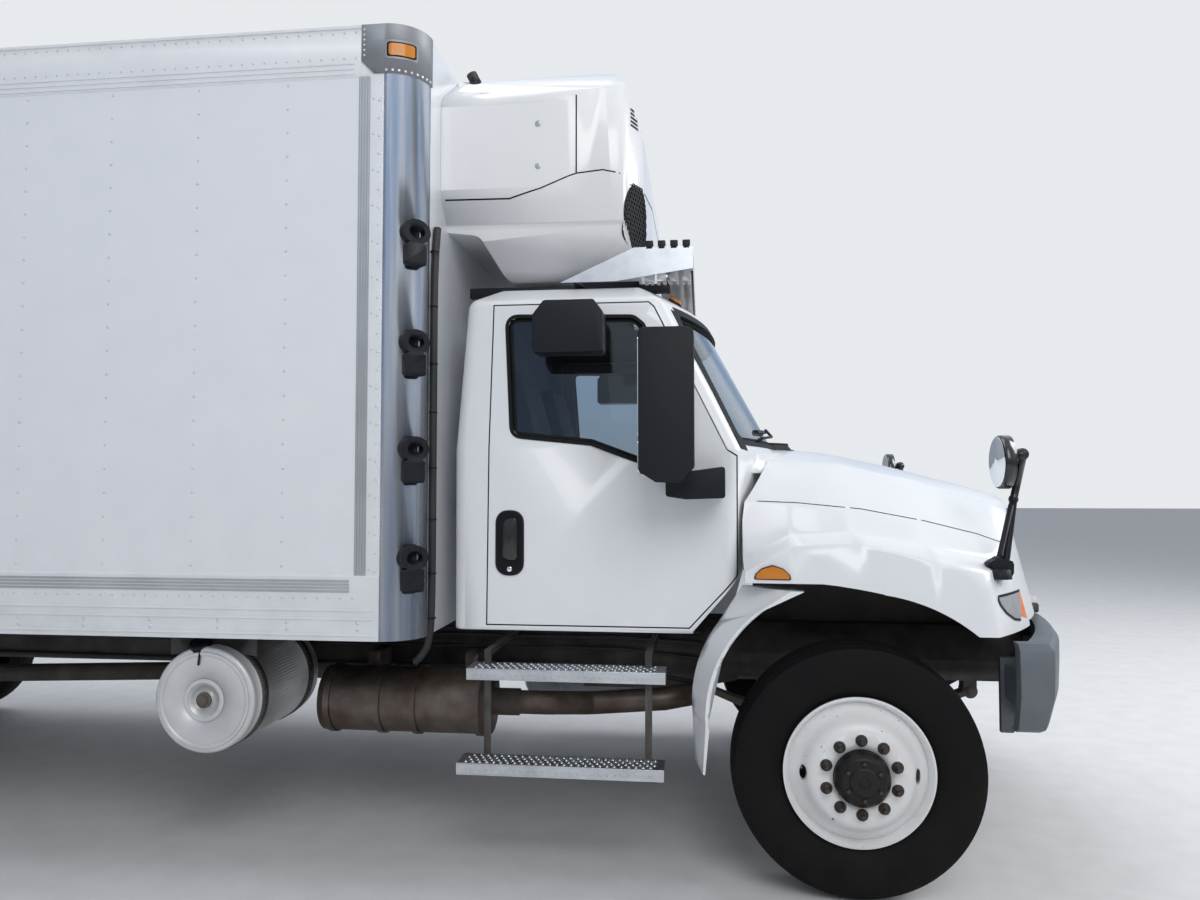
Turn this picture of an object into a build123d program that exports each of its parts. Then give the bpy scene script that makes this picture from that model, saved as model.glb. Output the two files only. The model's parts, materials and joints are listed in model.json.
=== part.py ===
from build123d import *
import os
from math import cos, radians, sin

# Refrigerated truck, in millimetres. +X is forward, +Y is the left side and +Z is up.
# The tyres stand on Z = 0, and the origin lies under the middle of the whole truck.

# Overall layout
wheelbase = 5994
front_overhang = 1018      # bumper face ahead of the front axle
box_setback = 1783         # front wall of the box behind the front axle
box_length = 7310
dock_reach = 70            # dock blocks behind the rear frame
overall_length = front_overhang + box_setback + box_length + dock_reach
x_front = overall_length / 2 - front_overhang
seat_gap = 0.3             # between pieces that rest on each other
panel_gap = 6              # round doors and hood

# Tyres and wheels
tyre_radius = 505
tyre_width = 275
bead_radius = 286
flange_radius = 298
rim_half_width = 118
disc_offset = 171.5        # convex face of the disc from the middle of the rim
disc_thickness = 11
stud_circle = 285.75
stud_count = 10
nut_radius = 17
nut_height = 26
pilot_radius = 110
front_track = 2094
rear_track = 1821
dual_spacing = 343
king_pin_y = 870
king_pin_radius = 22
spindle_radius = 40
steer_arm_reach = 230      # tie rod pins behind the front axle

# Ladder frame
rail_outer = 432
rail_height = 257
rail_flange = 90
rail_wall = 9
rail_top = 980
frame_nose = 880           # front end of the rails ahead of the front axle
frame_tail = 120           # rear end of the rails short of the box's rear face
pin_bore = 40              # tow pin bores in the frame's front horns
pin_from_nose = 40
pin_lift = 75
pin_boss_radius = 38
pin_boss_length = 60

# Box
body_width = 2590
box_bottom = 1005
box_top = 3592
wall = 64                  # insulated wall
rail_proud = 5             # side rails stand proud of the panels
lower_rail_top = 1269
upper_rail_bottom = 3375
corner_radius = 154        # polished quarter-round corner posts
roof_thickness = 76
floor_top = 1250
floor_thickness = 130
sill_height = 100
sill_pitch = 305
rear_frame_depth = 100
rear_post = 140
rear_header = 112
rear_sill_top = 1252
box_door_thickness = 76
box_door_gap = 16          # between the two rear doors
box_hinge_back = 36        # hinge pins behind the rear face
box_hinge_in = 20          # hinge pins inside the box's side

# Cab
cab_back = -1700
cab_floor = 1020
cab_belt = 1800
cab_eave = 2465
cab_crown = 2545
cab_half_width = 1040
cab_skin = 50
hood_skin = 25
hood_rear_side = -445
hood_rear_middle = -130
hood_low = 1055
hood_pivot_x = 960
hood_pivot_z = 1070
hood_pin_radius = 8
arm_y = 350                # hood arms at the pivot
arm_thickness = 16
lug_y = 363.5              # frame lugs outside the arms
lug_thickness = 10
arch_radius = 715
fender_half_width = 1200
fender_split_z = 1252
door_hinge_x = -474

# Steps, tanks and exhaust
step_depth = 138
tread_face = 49
cooler_tank_radius = 228
fuel_tank_radius = 280
canister_radius = 150

half = body_width / 2
panel_y = half - rail_proud
inner_y = panel_y - wall
rail_bottom = rail_top - rail_height
x_rear_axle = x_front - wheelbase
x_box_front = x_front - box_setback
x_box_rear = x_box_front - box_length
x_corner = x_box_front - corner_radius
corner_y = panel_y - corner_radius
sill_bottom = floor_top - floor_thickness - sill_height
rear_opening_half = half - rear_post

os.makedirs("parts", exist_ok=True)


def st(x):
    """A station in the truck's frame from one measured ahead of the front axle."""
    return x_front + x


def side_plane(y):
    """A plane seen from the right side, whose sketches have X across and Z up."""
    return Plane(origin=(0, y, 0), x_dir=(1, 0, 0), z_dir=(0, -1, 0))


def cross_plane(x):
    """A plane across the truck, whose sketches have Y across and Z up."""
    return Plane(origin=(x, 0, 0), x_dir=(0, 1, 0), z_dir=(1, 0, 0))


def outline(plane, points, radius=0):
    """A closed outline of straight runs, with its corners rounded."""
    with BuildSketch(plane) as shape:
        with BuildLine():
            Polyline(*points, close=True)
        make_face()
        if radius:
            fillet(shape.vertices(), radius)
    return shape.sketch


def side_prism(points, y_near, y_far, radius=0, mode=Mode.ADD):
    """A prism of a side outline, points as (station, Z), from y_near up to y_far."""
    shape = outline(side_plane(y_far), [(st(x), z) for x, z in points], radius)
    extrude(shape, amount=y_far - y_near, mode=mode)


def cross_prism(points, x_back, x_front_face, radius=0, mode=Mode.ADD):
    """A prism of an outline across the truck, points as (Y, Z), between two X values."""
    extrude(outline(cross_plane(x_back), points, radius), amount=x_front_face - x_back, mode=mode)


def block(x0, x1, y0, y1, z0, z1, mode=Mode.ADD):
    """A plain block between two corners."""
    with Locations(((x0 + x1) / 2, (y0 + y1) / 2, (z0 + z1) / 2)):
        Box(abs(x1 - x0), abs(y1 - y0), abs(z1 - z0), mode=mode)


def bar(start, direction, radius, length, mode=Mode.ADD):
    """A round bar from a start point along a direction."""
    with BuildSketch(Plane(origin=start, z_dir=direction)) as section:
        Circle(radius)
    extrude(section.sketch, amount=length, mode=mode)


def turned(x, points, mode=Mode.ADD):
    """A turned piece about a wheel's axis, points as (Y, radius)."""
    plane = Plane(origin=(x, 0, tyre_radius), x_dir=(0, 1, 0), z_dir=(1, 0, 0))
    revolve(outline(plane, points), axis=Axis((x, 0, tyre_radius), (0, 1, 0)), mode=mode)


def both_sides():
    """Adds the right side's copy of what the current sub-part has on the left."""
    mirror(about=Plane.XZ)


# Ladder frame: two channel rails, cross members, spring hangers and the front horns
cross_members = (790, -1330, -2250, -3200, -4150, -5050, -6950, -7900, -8850)
member_height = 190
member_depth = 70
with BuildPart() as frame:
    x_tail = x_box_rear + frame_tail
    with BuildSketch(cross_plane(x_tail)):
        with BuildLine():
            y_web = rail_outer - rail_wall
            y_lip = rail_outer - rail_flange
            z_low, z_high = rail_bottom, rail_top
            Polyline((rail_outer, z_low), (rail_outer, z_high), (y_lip, z_high),
                     (y_lip, z_high - rail_wall), (y_web, z_high - rail_wall),
                     (y_web, z_low + rail_wall), (y_lip, z_low + rail_wall),
                     (y_lip, z_low), close=True)
        make_face()
    extrude(amount=st(frame_nose) - x_tail)
    both_sides()
    for station in cross_members:
        z_mid = (rail_bottom + rail_top) / 2
        z0, z1 = z_mid - member_height / 2, z_mid + member_height / 2
        t = rail_wall
        web = [(station, z0), (station + member_depth, z0), (station + member_depth, z0 + t),
               (station + t, z0 + t), (station + t, z1 - t), (station + member_depth, z1 - t),
               (station + member_depth, z1), (station, z1)]
        side_prism(web, -y_web, y_web)
    for y in (-rail_outer + rail_wall / 2, rail_outer - rail_wall / 2):
        x, z = st(frame_nose - pin_from_nose), rail_bottom + pin_lift
        bar((x, y - pin_boss_length / 2, z), (0, 1, 0), pin_boss_radius, pin_boss_length)
        bar((x, y - pin_boss_length, z), (0, 1, 0), pin_bore / 2, 2 * pin_boss_length, mode=Mode.SUBTRACT)
    lug = [(795, rail_top), (855, rail_top), (918, 1041), (975, 1041), (975, 1086), (940, 1086), (895, 1066)]
    for side in (-1, 1):
        y0, y1 = sorted((side * lug_y, side * (lug_y + lug_thickness)))
        side_prism(lug, y0, y1, radius=10)
        bar((st(hood_pivot_x), side * (arm_y - 12), hood_pivot_z), (0, side, 0), hood_pin_radius,
            lug_y - arm_y + 14)
frame.part.label = "frame"
export_step(frame.part, "parts/frame.step")


# Leaf springs: a cambered pack between two hangers
spring_y = 390
spring_width = 76


def spring(side, x_mid, reach, z_seat, z_eye, thickness):
    """One spring pack on side 1 (left) or -1, with a flat seat and eyes at its ends."""
    seat = 90
    y_far = side * spring_y + spring_width / 2
    y_near = y_far - spring_width
    z_lift = z_seat + (z_eye - z_seat) * 0.45
    z_tip = z_eye + thickness * 0.35
    with BuildSketch(side_plane(y_far)) as pack:
        with BuildLine():
            Line((x_mid + seat, z_seat), (x_mid - seat, z_seat))
            ThreePointArc((x_mid - seat, z_seat), (x_mid - reach * 0.6, z_lift), (x_mid - reach, z_eye))
            Line((x_mid - reach, z_eye), (x_mid - reach, z_tip))
            ThreePointArc((x_mid - reach, z_tip), (x_mid, z_seat + thickness), (x_mid + reach, z_tip))
            Line((x_mid + reach, z_tip), (x_mid + reach, z_eye))
            ThreePointArc((x_mid + reach, z_eye), (x_mid + reach * 0.6, z_lift), (x_mid + seat, z_seat))
        make_face()
    extrude(pack.sketch, amount=spring_width)
    for x_end in (x_mid - reach, x_mid + reach):
        bar((x_end, y_near, (z_eye + z_tip) / 2), (0, 1, 0), 34, spring_width)
        block(x_end - 30, x_end + 30, y_near, y_far, z_eye, rail_bottom)


# Front axle: a dropped beam with king pin bosses, and two springs on its pads
beam_drop = 90
beam_height = 104
beam_width = 90
boss_height = 150
boss_radius = 48
front_spring_reach = 640
front_spring_thickness = 75
with BuildPart() as front_axle:
    z_beam = tyre_radius - beam_drop
    half_beam = beam_height / 2
    half_end = 45
    beam_left = [(king_pin_y - 190, z_beam - half_beam), (king_pin_y - 70, tyre_radius - half_end),
                 (king_pin_y, tyre_radius - half_end), (king_pin_y, tyre_radius + half_end),
                 (king_pin_y - 170, z_beam + half_beam)]
    beam = beam_left + [(-y, z) for y, z in reversed(beam_left)]
    cross_prism(beam, st(-beam_width / 2), st(beam_width / 2))
    for side in (-1, 1):
        spring(side, st(0), front_spring_reach, z_beam + half_beam, 660, front_spring_thickness)
        y_boss = side * king_pin_y
        bar((st(0), y_boss, tyre_radius - boss_height / 2), (0, 0, 1), boss_radius, boss_height)
        bar((st(0), y_boss, tyre_radius - boss_height), (0, 0, 1), king_pin_radius + seat_gap,
            boss_height * 2, mode=Mode.SUBTRACT)
front_axle.part.label = "front_axle"
export_step(front_axle.part, "parts/front_axle.step")

# Steering knuckles: a forked lug on the king pin, a spindle and a steering arm
spindle_length = 215
yoke_thickness = 45
yoke_gap = 5.5             # between the fork and the axle's boss
with BuildPart() as knuckle_left:
    z_low = tyre_radius - boss_height / 2 - yoke_gap
    z_high = tyre_radius + boss_height / 2 + yoke_gap
    for z in (z_low - yoke_thickness, z_high):
        with BuildSketch(Plane.XY.offset(z)) as lug:
            with Locations((st(0), king_pin_y)):
                Circle(boss_radius + 4)
            with Locations((st(0), king_pin_y + 45)):
                Rectangle(2 * boss_radius, 100)
        extrude(lug.sketch, amount=yoke_thickness)
    block(st(-boss_radius), st(boss_radius), king_pin_y + boss_radius + 12, king_pin_y + 95,
          z_low - yoke_thickness, z_high + yoke_thickness)
    bar((st(0), king_pin_y, z_low - yoke_thickness), (0, 0, 1), king_pin_radius,
        z_high - z_low + 2 * yoke_thickness)
    bar((st(0), king_pin_y + 80, tyre_radius), (0, 1, 0), spindle_radius, spindle_length)
    z_arm = z_low - yoke_thickness
    arm = [(st(0), king_pin_y - 40), (st(0), king_pin_y + 40), (st(-steer_arm_reach), king_pin_y + 30),
           (st(-steer_arm_reach - 32), king_pin_y), (st(-steer_arm_reach), king_pin_y - 30)]
    extrude(outline(Plane.XY.offset(z_arm), arm), amount=34)
    bar((st(-steer_arm_reach), king_pin_y, z_arm - 50), (0, 0, 1), 12, 84)
knuckle_left.part.label = "knuckle_left"
export_step(knuckle_left.part, "parts/knuckle_left.step")
with BuildPart() as knuckle_right:
    mirror(knuckle_left.part, about=Plane.XZ)
knuckle_right.part.label = "knuckle_right"
export_step(knuckle_right.part, "parts/knuckle_right.step")

# Tie rod: a tube between the two steering arms, with an eye round each pin
with BuildPart() as tie_rod:
    z_rod = z_arm - 30
    bar((st(-steer_arm_reach), -king_pin_y, z_rod), (0, 1, 0), 19, 2 * king_pin_y)
    for y in (-king_pin_y, king_pin_y):
        bar((st(-steer_arm_reach), y, z_rod - 22), (0, 0, 1), 32, 44)
    for y in (-king_pin_y, king_pin_y):
        bar((st(-steer_arm_reach), y, z_rod - 60), (0, 0, 1), 12 + seat_gap, 120, mode=Mode.SUBTRACT)
tie_rod.part.label = "tie_rod"
export_step(tie_rod.part, "parts/tie_rod.step")


# Wheels. The rim's section is given as (offset from the rim's middle, radius), and the disc's
# convex side lies on the positive offset.
def wheel_section(sense, y_mid):
    """The section of one steel wheel, with its disc towards +Y (sense 1) or -Y (sense -1)."""
    face = disc_offset
    back = face - disc_thickness
    edge = rim_half_width
    inside = bead_radius - 12
    well = 262
    points = [(edge, flange_radius), (edge + 2, flange_radius - 8), (edge - 16, inside + 4),
              (edge - 36, inside - 2), (edge - 6, 238), (face - 12, 204), (face, 180),
              (face, pilot_radius), (back, pilot_radius), (back, 176), (back - 12, 196),
              (edge - 18, 226), (edge - 58, well - 10), (-30, well - 10), (-52, inside),
              (-edge + 14, inside), (-edge, flange_radius - 10), (-edge, flange_radius),
              (-edge + 10, flange_radius), (-edge + 12, bead_radius), (-48, bead_radius - 2),
              (-28, well), (edge - 56, well), (edge - 40, bead_radius - 2), (edge - 12, bead_radius),
              (edge - 10, flange_radius)]
    return [(y_mid + sense * offset, radius) for offset, radius in points]


def tyre_section(y_mid):
    """The section of one tyre: bead feet, bulging side walls and a gently crowned tread."""
    bead = rim_half_width - 12 - seat_gap
    seat = bead_radius + seat_gap
    side = tyre_width / 2
    shoulder = side - 17
    return seat, bead, side, shoulder


def tyre(x, y_mid):
    """One tyre about the wheel's axis."""
    seat, bead, side, shoulder = tyre_section(y_mid)
    plane = Plane(origin=(x, y_mid, tyre_radius), x_dir=(0, 1, 0), z_dir=(1, 0, 0))
    with BuildSketch(plane) as section:
        with BuildLine():
            Line((bead - 22, seat), (bead, seat))
            Line((bead, seat), (bead, seat + 14))
            ThreePointArc((bead, seat + 14), (side, 395), (shoulder, tyre_radius - 16))
            ThreePointArc((shoulder, tyre_radius - 16), (0, tyre_radius), (-shoulder, tyre_radius - 16))
            ThreePointArc((-shoulder, tyre_radius - 16), (-side, 395), (-bead, seat + 14))
            Line((-bead, seat + 14), (-bead, seat))
            Line((-bead, seat), (-bead + 22, seat))
            ThreePointArc((-bead + 22, seat), (-side + 18, 395), (-shoulder + 24, tyre_radius - 46))
            ThreePointArc((-shoulder + 24, tyre_radius - 46), (0, tyre_radius - 32),
                          (shoulder - 24, tyre_radius - 46))
            ThreePointArc((shoulder - 24, tyre_radius - 46), (side - 18, 395), (bead - 22, seat))
        make_face()
    revolve(section.sketch, axis=Axis((x, 0, tyre_radius), (0, 1, 0)))


def hand_holes(x, y_from, depth, count):
    """Oval hand holes through the disc, evenly spaced from the wheel's front."""
    plane = Plane(origin=(x, y_from, tyre_radius), x_dir=(1, 0, 0), z_dir=(0, 1, 0))
    with BuildSketch(plane) as holes:
        with PolarLocations(221, count):
            Ellipse(13, 31)
    extrude(holes.sketch, amount=depth, mode=Mode.SUBTRACT)


def studs(x, y_face, direction, radius, length):
    """The ring of wheel nuts on a disc's face."""
    plane = Plane(origin=(x, y_face, tyre_radius), x_dir=(1, 0, 0), z_dir=(0, direction, 0))
    with BuildSketch(plane) as ring:
        with PolarLocations(stud_circle / 2, stud_count, start_angle=18):
            RegularPolygon(radius, 6)
    extrude(ring.sketch, amount=length)


# Front wheels: one steel disc wheel each, with its hub and brake drum behind it
with BuildPart() as front_wheel_left:
    y_mid = front_track / 2
    y_back = y_mid + disc_offset - disc_thickness
    turned(st(0), wheel_section(1, y_mid))
    hand_holes(st(0), y_mid + 40, 200, 2)
    bore = spindle_radius + seat_gap
    hub = [(y_back - 190, bore), (y_back - 190, 75), (y_back - 50, 75), (y_back - 28, 95),
           (y_back - 28, 150), (y_back - 42, 180), (y_back - 64, 194), (y_back - 245, 194),
           (y_back - 245, 206), (y_back - 60, 206), (y_back - 30, 190), (y_back, 172), (y_back, pilot_radius),
           (y_back + 40, pilot_radius - 4), (y_back + 66, 84), (y_back + 66, 0), (y_back + 20, 0),
           (y_back + 20, bore)]
    turned(st(0), hub)
    studs(st(0), y_mid + disc_offset, 1, nut_radius, nut_height)
front_wheel_left.part.label = "front_wheel_left"
export_step(front_wheel_left.part, "parts/front_wheel_left.step")
with BuildPart() as front_wheel_right:
    mirror(front_wheel_left.part, about=Plane.XZ)
front_wheel_right.part.label = "front_wheel_right"
export_step(front_wheel_right.part, "parts/front_wheel_right.step")
with BuildPart() as front_tyre_left:
    tyre(st(0), front_track / 2)
front_tyre_left.part.label = "front_tyre_left"
export_step(front_tyre_left.part, "parts/front_tyre_left.step")
with BuildPart() as front_tyre_right:
    mirror(front_tyre_left.part, about=Plane.XZ)
front_tyre_right.part.label = "front_tyre_right"
export_step(front_tyre_right.part, "parts/front_tyre_right.step")

# Rear wheels: two discs bolted back to back on one hub and drum
y_pair = rear_track / 2
y_outer = y_pair + dual_spacing / 2
y_inner = y_pair - dual_spacing / 2
axle_tube = 62
with BuildPart() as rear_wheels_left:
    turned(x_rear_axle, wheel_section(-1, y_outer))
    turned(x_rear_axle, wheel_section(1, y_inner))
    hand_holes(x_rear_axle, y_pair - 60, 120, 2)
    bore = axle_tube + seat_gap
    hub = [(y_pair - 260, bore), (y_pair - 260, 92), (y_pair - 60, 92), (y_pair - 40, 110),
           (y_pair - 40, 160), (y_pair - 70, 192), (y_pair - 330, 192), (y_pair - 330, 205),
           (y_pair - 60, 205), (y_pair - disc_thickness, 174), (y_pair - disc_thickness, pilot_radius),
           (y_pair + 60, pilot_radius - 3), (y_pair + 130, 98), (y_pair + 150, 84),
           (y_pair + 150, 0), (y_pair + 125, 0), (y_pair + 125, bore)]
    turned(x_rear_axle, hub)
    studs(x_rear_axle, y_pair + disc_thickness, 1, nut_radius, nut_height)
rear_wheels_left.part.label = "rear_wheels_left"
export_step(rear_wheels_left.part, "parts/rear_wheels_left.step")
with BuildPart() as rear_wheels_right:
    mirror(rear_wheels_left.part, about=Plane.XZ)
rear_wheels_right.part.label = "rear_wheels_right"
export_step(rear_wheels_right.part, "parts/rear_wheels_right.step")
with BuildPart() as rear_tyres_left:
    tyre(x_rear_axle, y_outer)
    tyre(x_rear_axle, y_inner)
rear_tyres_left.part.label = "rear_tyres_left"
export_step(rear_tyres_left.part, "parts/rear_tyres_left.step")
with BuildPart() as rear_tyres_right:
    mirror(rear_tyres_left.part, about=Plane.XZ)
rear_tyres_right.part.label = "rear_tyres_right"
export_step(rear_tyres_right.part, "parts/rear_tyres_right.step")

# Rear axle: a banjo housing with tubes out to the hubs, and two springs over it
rear_spring_reach = 700
with BuildPart() as rear_axle:
    housing = [(-y_pair - 120, 0), (-y_pair - 120, axle_tube), (-500, axle_tube), (-480, 78),
               (-260, 86), (-170, 190), (-60, 222), (60, 222), (170, 190), (260, 86), (480, 78),
               (500, axle_tube), (y_pair + 120, axle_tube), (y_pair + 120, 0)]
    turned(x_rear_axle, housing)
    bar((x_rear_axle + 180, 0, tyre_radius), (1, 0, 0), 120, 160)
    for side in (-1, 1):
        spring(side, x_rear_axle, rear_spring_reach, tyre_radius + 84, rail_bottom - 60, 90)
        y0 = side * spring_y - spring_width / 2
        block(x_rear_axle - 80, x_rear_axle + 80, y0 - 8, y0 + spring_width + 8,
              tyre_radius - 60, tyre_radius + 84)
rear_axle.part.label = "rear_axle"
export_step(rear_axle.part, "parts/rear_axle.step")

# Engine block with its radiator ahead of it, as one plain mass
engine_half = 330
radiator_front = 770
with BuildPart() as engine:
    side_prism([(-330, 700), (-330, 1330), (620, 1400), (690, 1290), (690, 745), (500, 640), (0, 600),
                (-200, 600)], -engine_half, engine_half)
    block(st(690), st(radiator_front), -engine_half, engine_half, 745, 1000)
    block(st(690), st(radiator_front), -430, 430, 990, 1420)
engine.part.label = "engine"
export_step(engine.part, "parts/engine.step")

# Driveline: bell housing, gearbox, and a driveshaft with its joints
shaft_radius = 50
gearbox_out_z = 660
with BuildPart() as driveline:
    bar((st(-330 - seat_gap), 0, 830), (-1, 0, 0), 215, 130)
    side_prism([(-440, 640), (-440, 1000), (-700, 980), (-1240, 860), (-1240, 590), (-700, 590)], -170, 170)
    x_start, x_end = st(-1240), x_rear_axle + 345
    run = Vector(x_end - x_start, 0, tyre_radius - gearbox_out_z)
    bar((x_start, 0, gearbox_out_z), run, shaft_radius, run.length)
    for share in (0, 0.5, 0.97):
        bar((x_start + run.X * share, 0, gearbox_out_z + run.Z * share), run, 68, 110)
driveline.part.label = "driveline"
export_step(driveline.part, "parts/driveline.step")


# Hood. Its form is lofted across through these stations, with fender crowns on its sides:
# (station, top in the middle, shoulder Y, shoulder Z, crease Y, crease Z, root Y, root Z, crown Y, crown Z)
hood_sections = ((-445, 1850, 800, 1760, 985, 1577, 1030, 1340, 1175, 1295),
                 (-250, 1840, 795, 1752, 975, 1563, 1030, 1440, 1185, 1402),
                 (0, 1815, 780, 1735, 960, 1540, 1020, 1455, 1195, 1415),
                 (300, 1752, 740, 1665, 930, 1490, 1000, 1400, 1195, 1345),
                 (640, 1663, 680, 1575, 880, 1408, 960, 1330, 1180, 1262),
                 (1000, 1560, 600, 1450, 800, 1330, 880, 1270, 1150, 1180))
nose_bottom = (985, 500)   # stations of the nose's face in the middle and at its sides
nose_lean = 165            # the face leans back this much over its height
nose_low, nose_high = 1040, 1700
hood_round = 35            # along the hood's shoulders and creases


def hood_solid(inset, drop=0):
    """The hood's outer form, or the form under its skin at an inset."""
    with BuildPart() as solid:
        first = hood_sections[0][0]
        last = hood_sections[-1][0]
        for station, top, sy, sz, cy, cz, ry, rz, wy, wz in hood_sections:
            x = station - (drop if station == first else 0)
            low = hood_low - drop
            t = inset
            with BuildSketch(cross_plane(st(x))) as section:
                with BuildLine():
                    Polyline((-fender_half_width + t, low), (-wy + t, wz - t), (-ry + t, rz - t), (-cy + t, cz - t),
                             (-sy + t, sz - t))
                    ThreePointArc((-sy + t, sz - t), (0, top - t), (sy - t, sz - t))
                    Polyline((sy - t, sz - t), (cy - t, cz - t), (ry - t, rz - t), (wy - t, wz - t),
                             (fender_half_width - t, low), (-fender_half_width + t, low))
                make_face()
                fillet(section.vertices().filter_by(lambda v: v.Z > low + 1), hood_round)
        loft(ruled=True)
        with BuildPart(mode=Mode.PRIVATE) as nose:
            for z, back in ((nose_low - drop - 10, 0), (nose_high + 200, nose_lean * 1.3)):
                middle, side_x = (st(value - back - inset) for value in nose_bottom)
                with BuildSketch(Plane.XY.offset(z)):
                    with BuildLine():
                        Polyline((side_x, 1240), (st(-600), 1240), (st(-600), -1240), (side_x, -1240))
                        ThreePointArc((side_x, -1240), (middle, 0), (side_x, 1240))
                    make_face()
            loft(ruled=True)
        add(nose.part, mode=Mode.INTERSECT)
    return solid.part


def behind_hood(gap):
    """The plan region behind the hood's curved rear edge."""
    side_x = st(hood_rear_side - gap)
    with BuildPart() as solid:
        with BuildSketch(Plane.XY.offset(1000)):
            with BuildLine():
                Polyline((side_x, 1000), (side_x, 1300), (st(-900), 1300), (st(-900), -1300), (side_x, -1300),
                         (side_x, -1000))
                ThreePointArc((side_x, -1000), (st(hood_rear_middle - gap), 0), (side_x, 1000))
            make_face()
        extrude(amount=1000)
    return solid.part


# Cab. Its outer form is lofted through level sections, each given as
# (Z, half width, back, front at the side, front in the middle).
cab_sections = ((cab_floor, cab_half_width - 8, cab_back, -480, -478),
                (cab_belt, cab_half_width, cab_back, -467, -215),
                (cab_eave, cab_half_width - 55, cab_back + 40, -800, -575),
                (cab_crown, cab_half_width - 190, cab_back + 170, -900, -690))


def cab_solid(side=0, ends=0, floor=0, top=0, rounding=60):
    """The cab's outer form, with its sides, its ends, its floor and its crown moved inwards."""
    with BuildPart() as solid:
        for z, width, back, side_front, middle_front in cab_sections:
            level = z + (floor if z == cab_floor else 0) - (top if z == cab_crown else 0)
            w, b = width - side, st(back + ends)
            s, m = st(side_front - ends), st(middle_front - ends)
            with BuildSketch(Plane.XY.offset(level)):
                with BuildLine():
                    Polyline((s, -w), (b, -w), (b, w), (s, w))
                    ThreePointArc((s, w), (m, 0), (s, -w))
                make_face()
        loft(ruled=True)
        lowest = cab_floor + floor + 5
        fillet(solid.edges().filter_by(lambda e: e.center().Z > lowest and abs(e.center().Z - cab_belt) > 5),
               rounding)
    return solid.part


def wheelhouse(offset):
    """The corner that the front wheelhouse takes out of the cab on each side."""
    corner = [(-380, 900), (-380, fender_split_z + 14 + offset), (-450 - offset, fender_split_z + 14 + offset),
              (-655 - offset, cab_floor + 8 + offset), (-655 - offset, 900)]
    with BuildPart() as solid:
        side_prism(corner, 440 - offset, fender_half_width)
        both_sides()
    return solid.part


door_outline = [(-1545, 1045), (-672, 1045), (door_hinge_x + 4, 1262), (door_hinge_x + 4, 1770),
                (-512, 1795), (-822, 2425), (-845, 2445), (-1530, 2445)]
window_outline = [(-1434, 1867), (-1089, 1832), (-877, 1752), (-690, 1690), (-672, 1850), (-872, 2345),
                  (-912, 2378), (-1467, 2390)]
windshield_outline = [(-955, 1838), (955, 1838), (880, 2408), (-880, 2408)]
rear_window = [(-420, 1880), (420, 1880), (400, 2250), (-400, 2250)]


def grown(points, amount):
    """Moves each corner of an outline along the mean of its two sides' normals."""
    moved = []
    count = len(points)
    for k, (x, z) in enumerate(points):
        before = Vector(x - points[k - 1][0], z - points[k - 1][1]).normalized()
        after_point = points[(k + 1) % count]
        after = Vector(after_point[0] - x, after_point[1] - z).normalized()
        n1, n2 = Vector(before.Y, -before.X), Vector(after.Y, -after.X)
        mean = (n1 + n2).normalized()
        share = amount / max(mean.dot(n1), 0.4)
        moved.append((x + mean.X * share, z + mean.Y * share))
    return moved


with BuildPart() as cab_shell:
    add(cab_solid())
    add(wheelhouse(0), mode=Mode.SUBTRACT)
    with BuildPart(mode=Mode.PRIVATE) as inside:
        add(cab_solid(cab_skin, cab_skin, cab_skin, 0.8 * cab_skin, 20))
        add(wheelhouse(cab_skin), mode=Mode.SUBTRACT)
    add(inside.part, mode=Mode.SUBTRACT)
    for y0, y1 in ((700, 1200), (-1200, -700)):
        side_prism(grown(door_outline, panel_gap), y0, y1, mode=Mode.SUBTRACT)
    cross_prism(windshield_outline, st(-900), st(0), radius=45, mode=Mode.SUBTRACT)
    cross_prism(rear_window, st(cab_back - 60), st(cab_back + 200), radius=40, mode=Mode.SUBTRACT)
    with BuildPart(mode=Mode.PRIVATE) as cowl:
        add(hood_solid(0))
        add(hood_solid(hood_skin, drop=30), mode=Mode.SUBTRACT)
        add(behind_hood(panel_gap), mode=Mode.INTERSECT)
        add(cab_solid(), mode=Mode.SUBTRACT)
        block(st(-700), st(0), -fender_half_width, fender_half_width, 1000, 1700, mode=Mode.SUBTRACT)
    add(cowl.part)
cab_shell.part.label = "cab_shell"
export_step(cab_shell.part, "parts/cab_shell.step")


glass_depth = 18
glass_thickness = 8
with BuildPart() as cab_glass:
    add(cab_solid(glass_depth, glass_depth, 0, glass_depth))
    back_face = glass_depth + glass_thickness
    add(cab_solid(back_face, back_face, 0, back_face), mode=Mode.SUBTRACT)
    with BuildPart(mode=Mode.PRIVATE) as openings:
        cross_prism(grown(windshield_outline, -seat_gap), st(-900), st(0), radius=45)
        cross_prism(grown(rear_window, -seat_gap), st(cab_back - 60), st(cab_back + 200), radius=40)
    add(openings.part, mode=Mode.INTERSECT)
cab_glass.part.label = "cab_glass"
export_step(cab_glass.part, "parts/cab_glass.step")


def side_layer(depth, thickness):
    """A layer of the cab's side alone, at a depth under its surface."""
    with BuildPart() as layer:
        add(cab_solid(side=depth))
        add(cab_solid(side=depth + thickness, ends=-200, floor=-20, top=-60), mode=Mode.SUBTRACT)
    return layer.part


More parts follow.
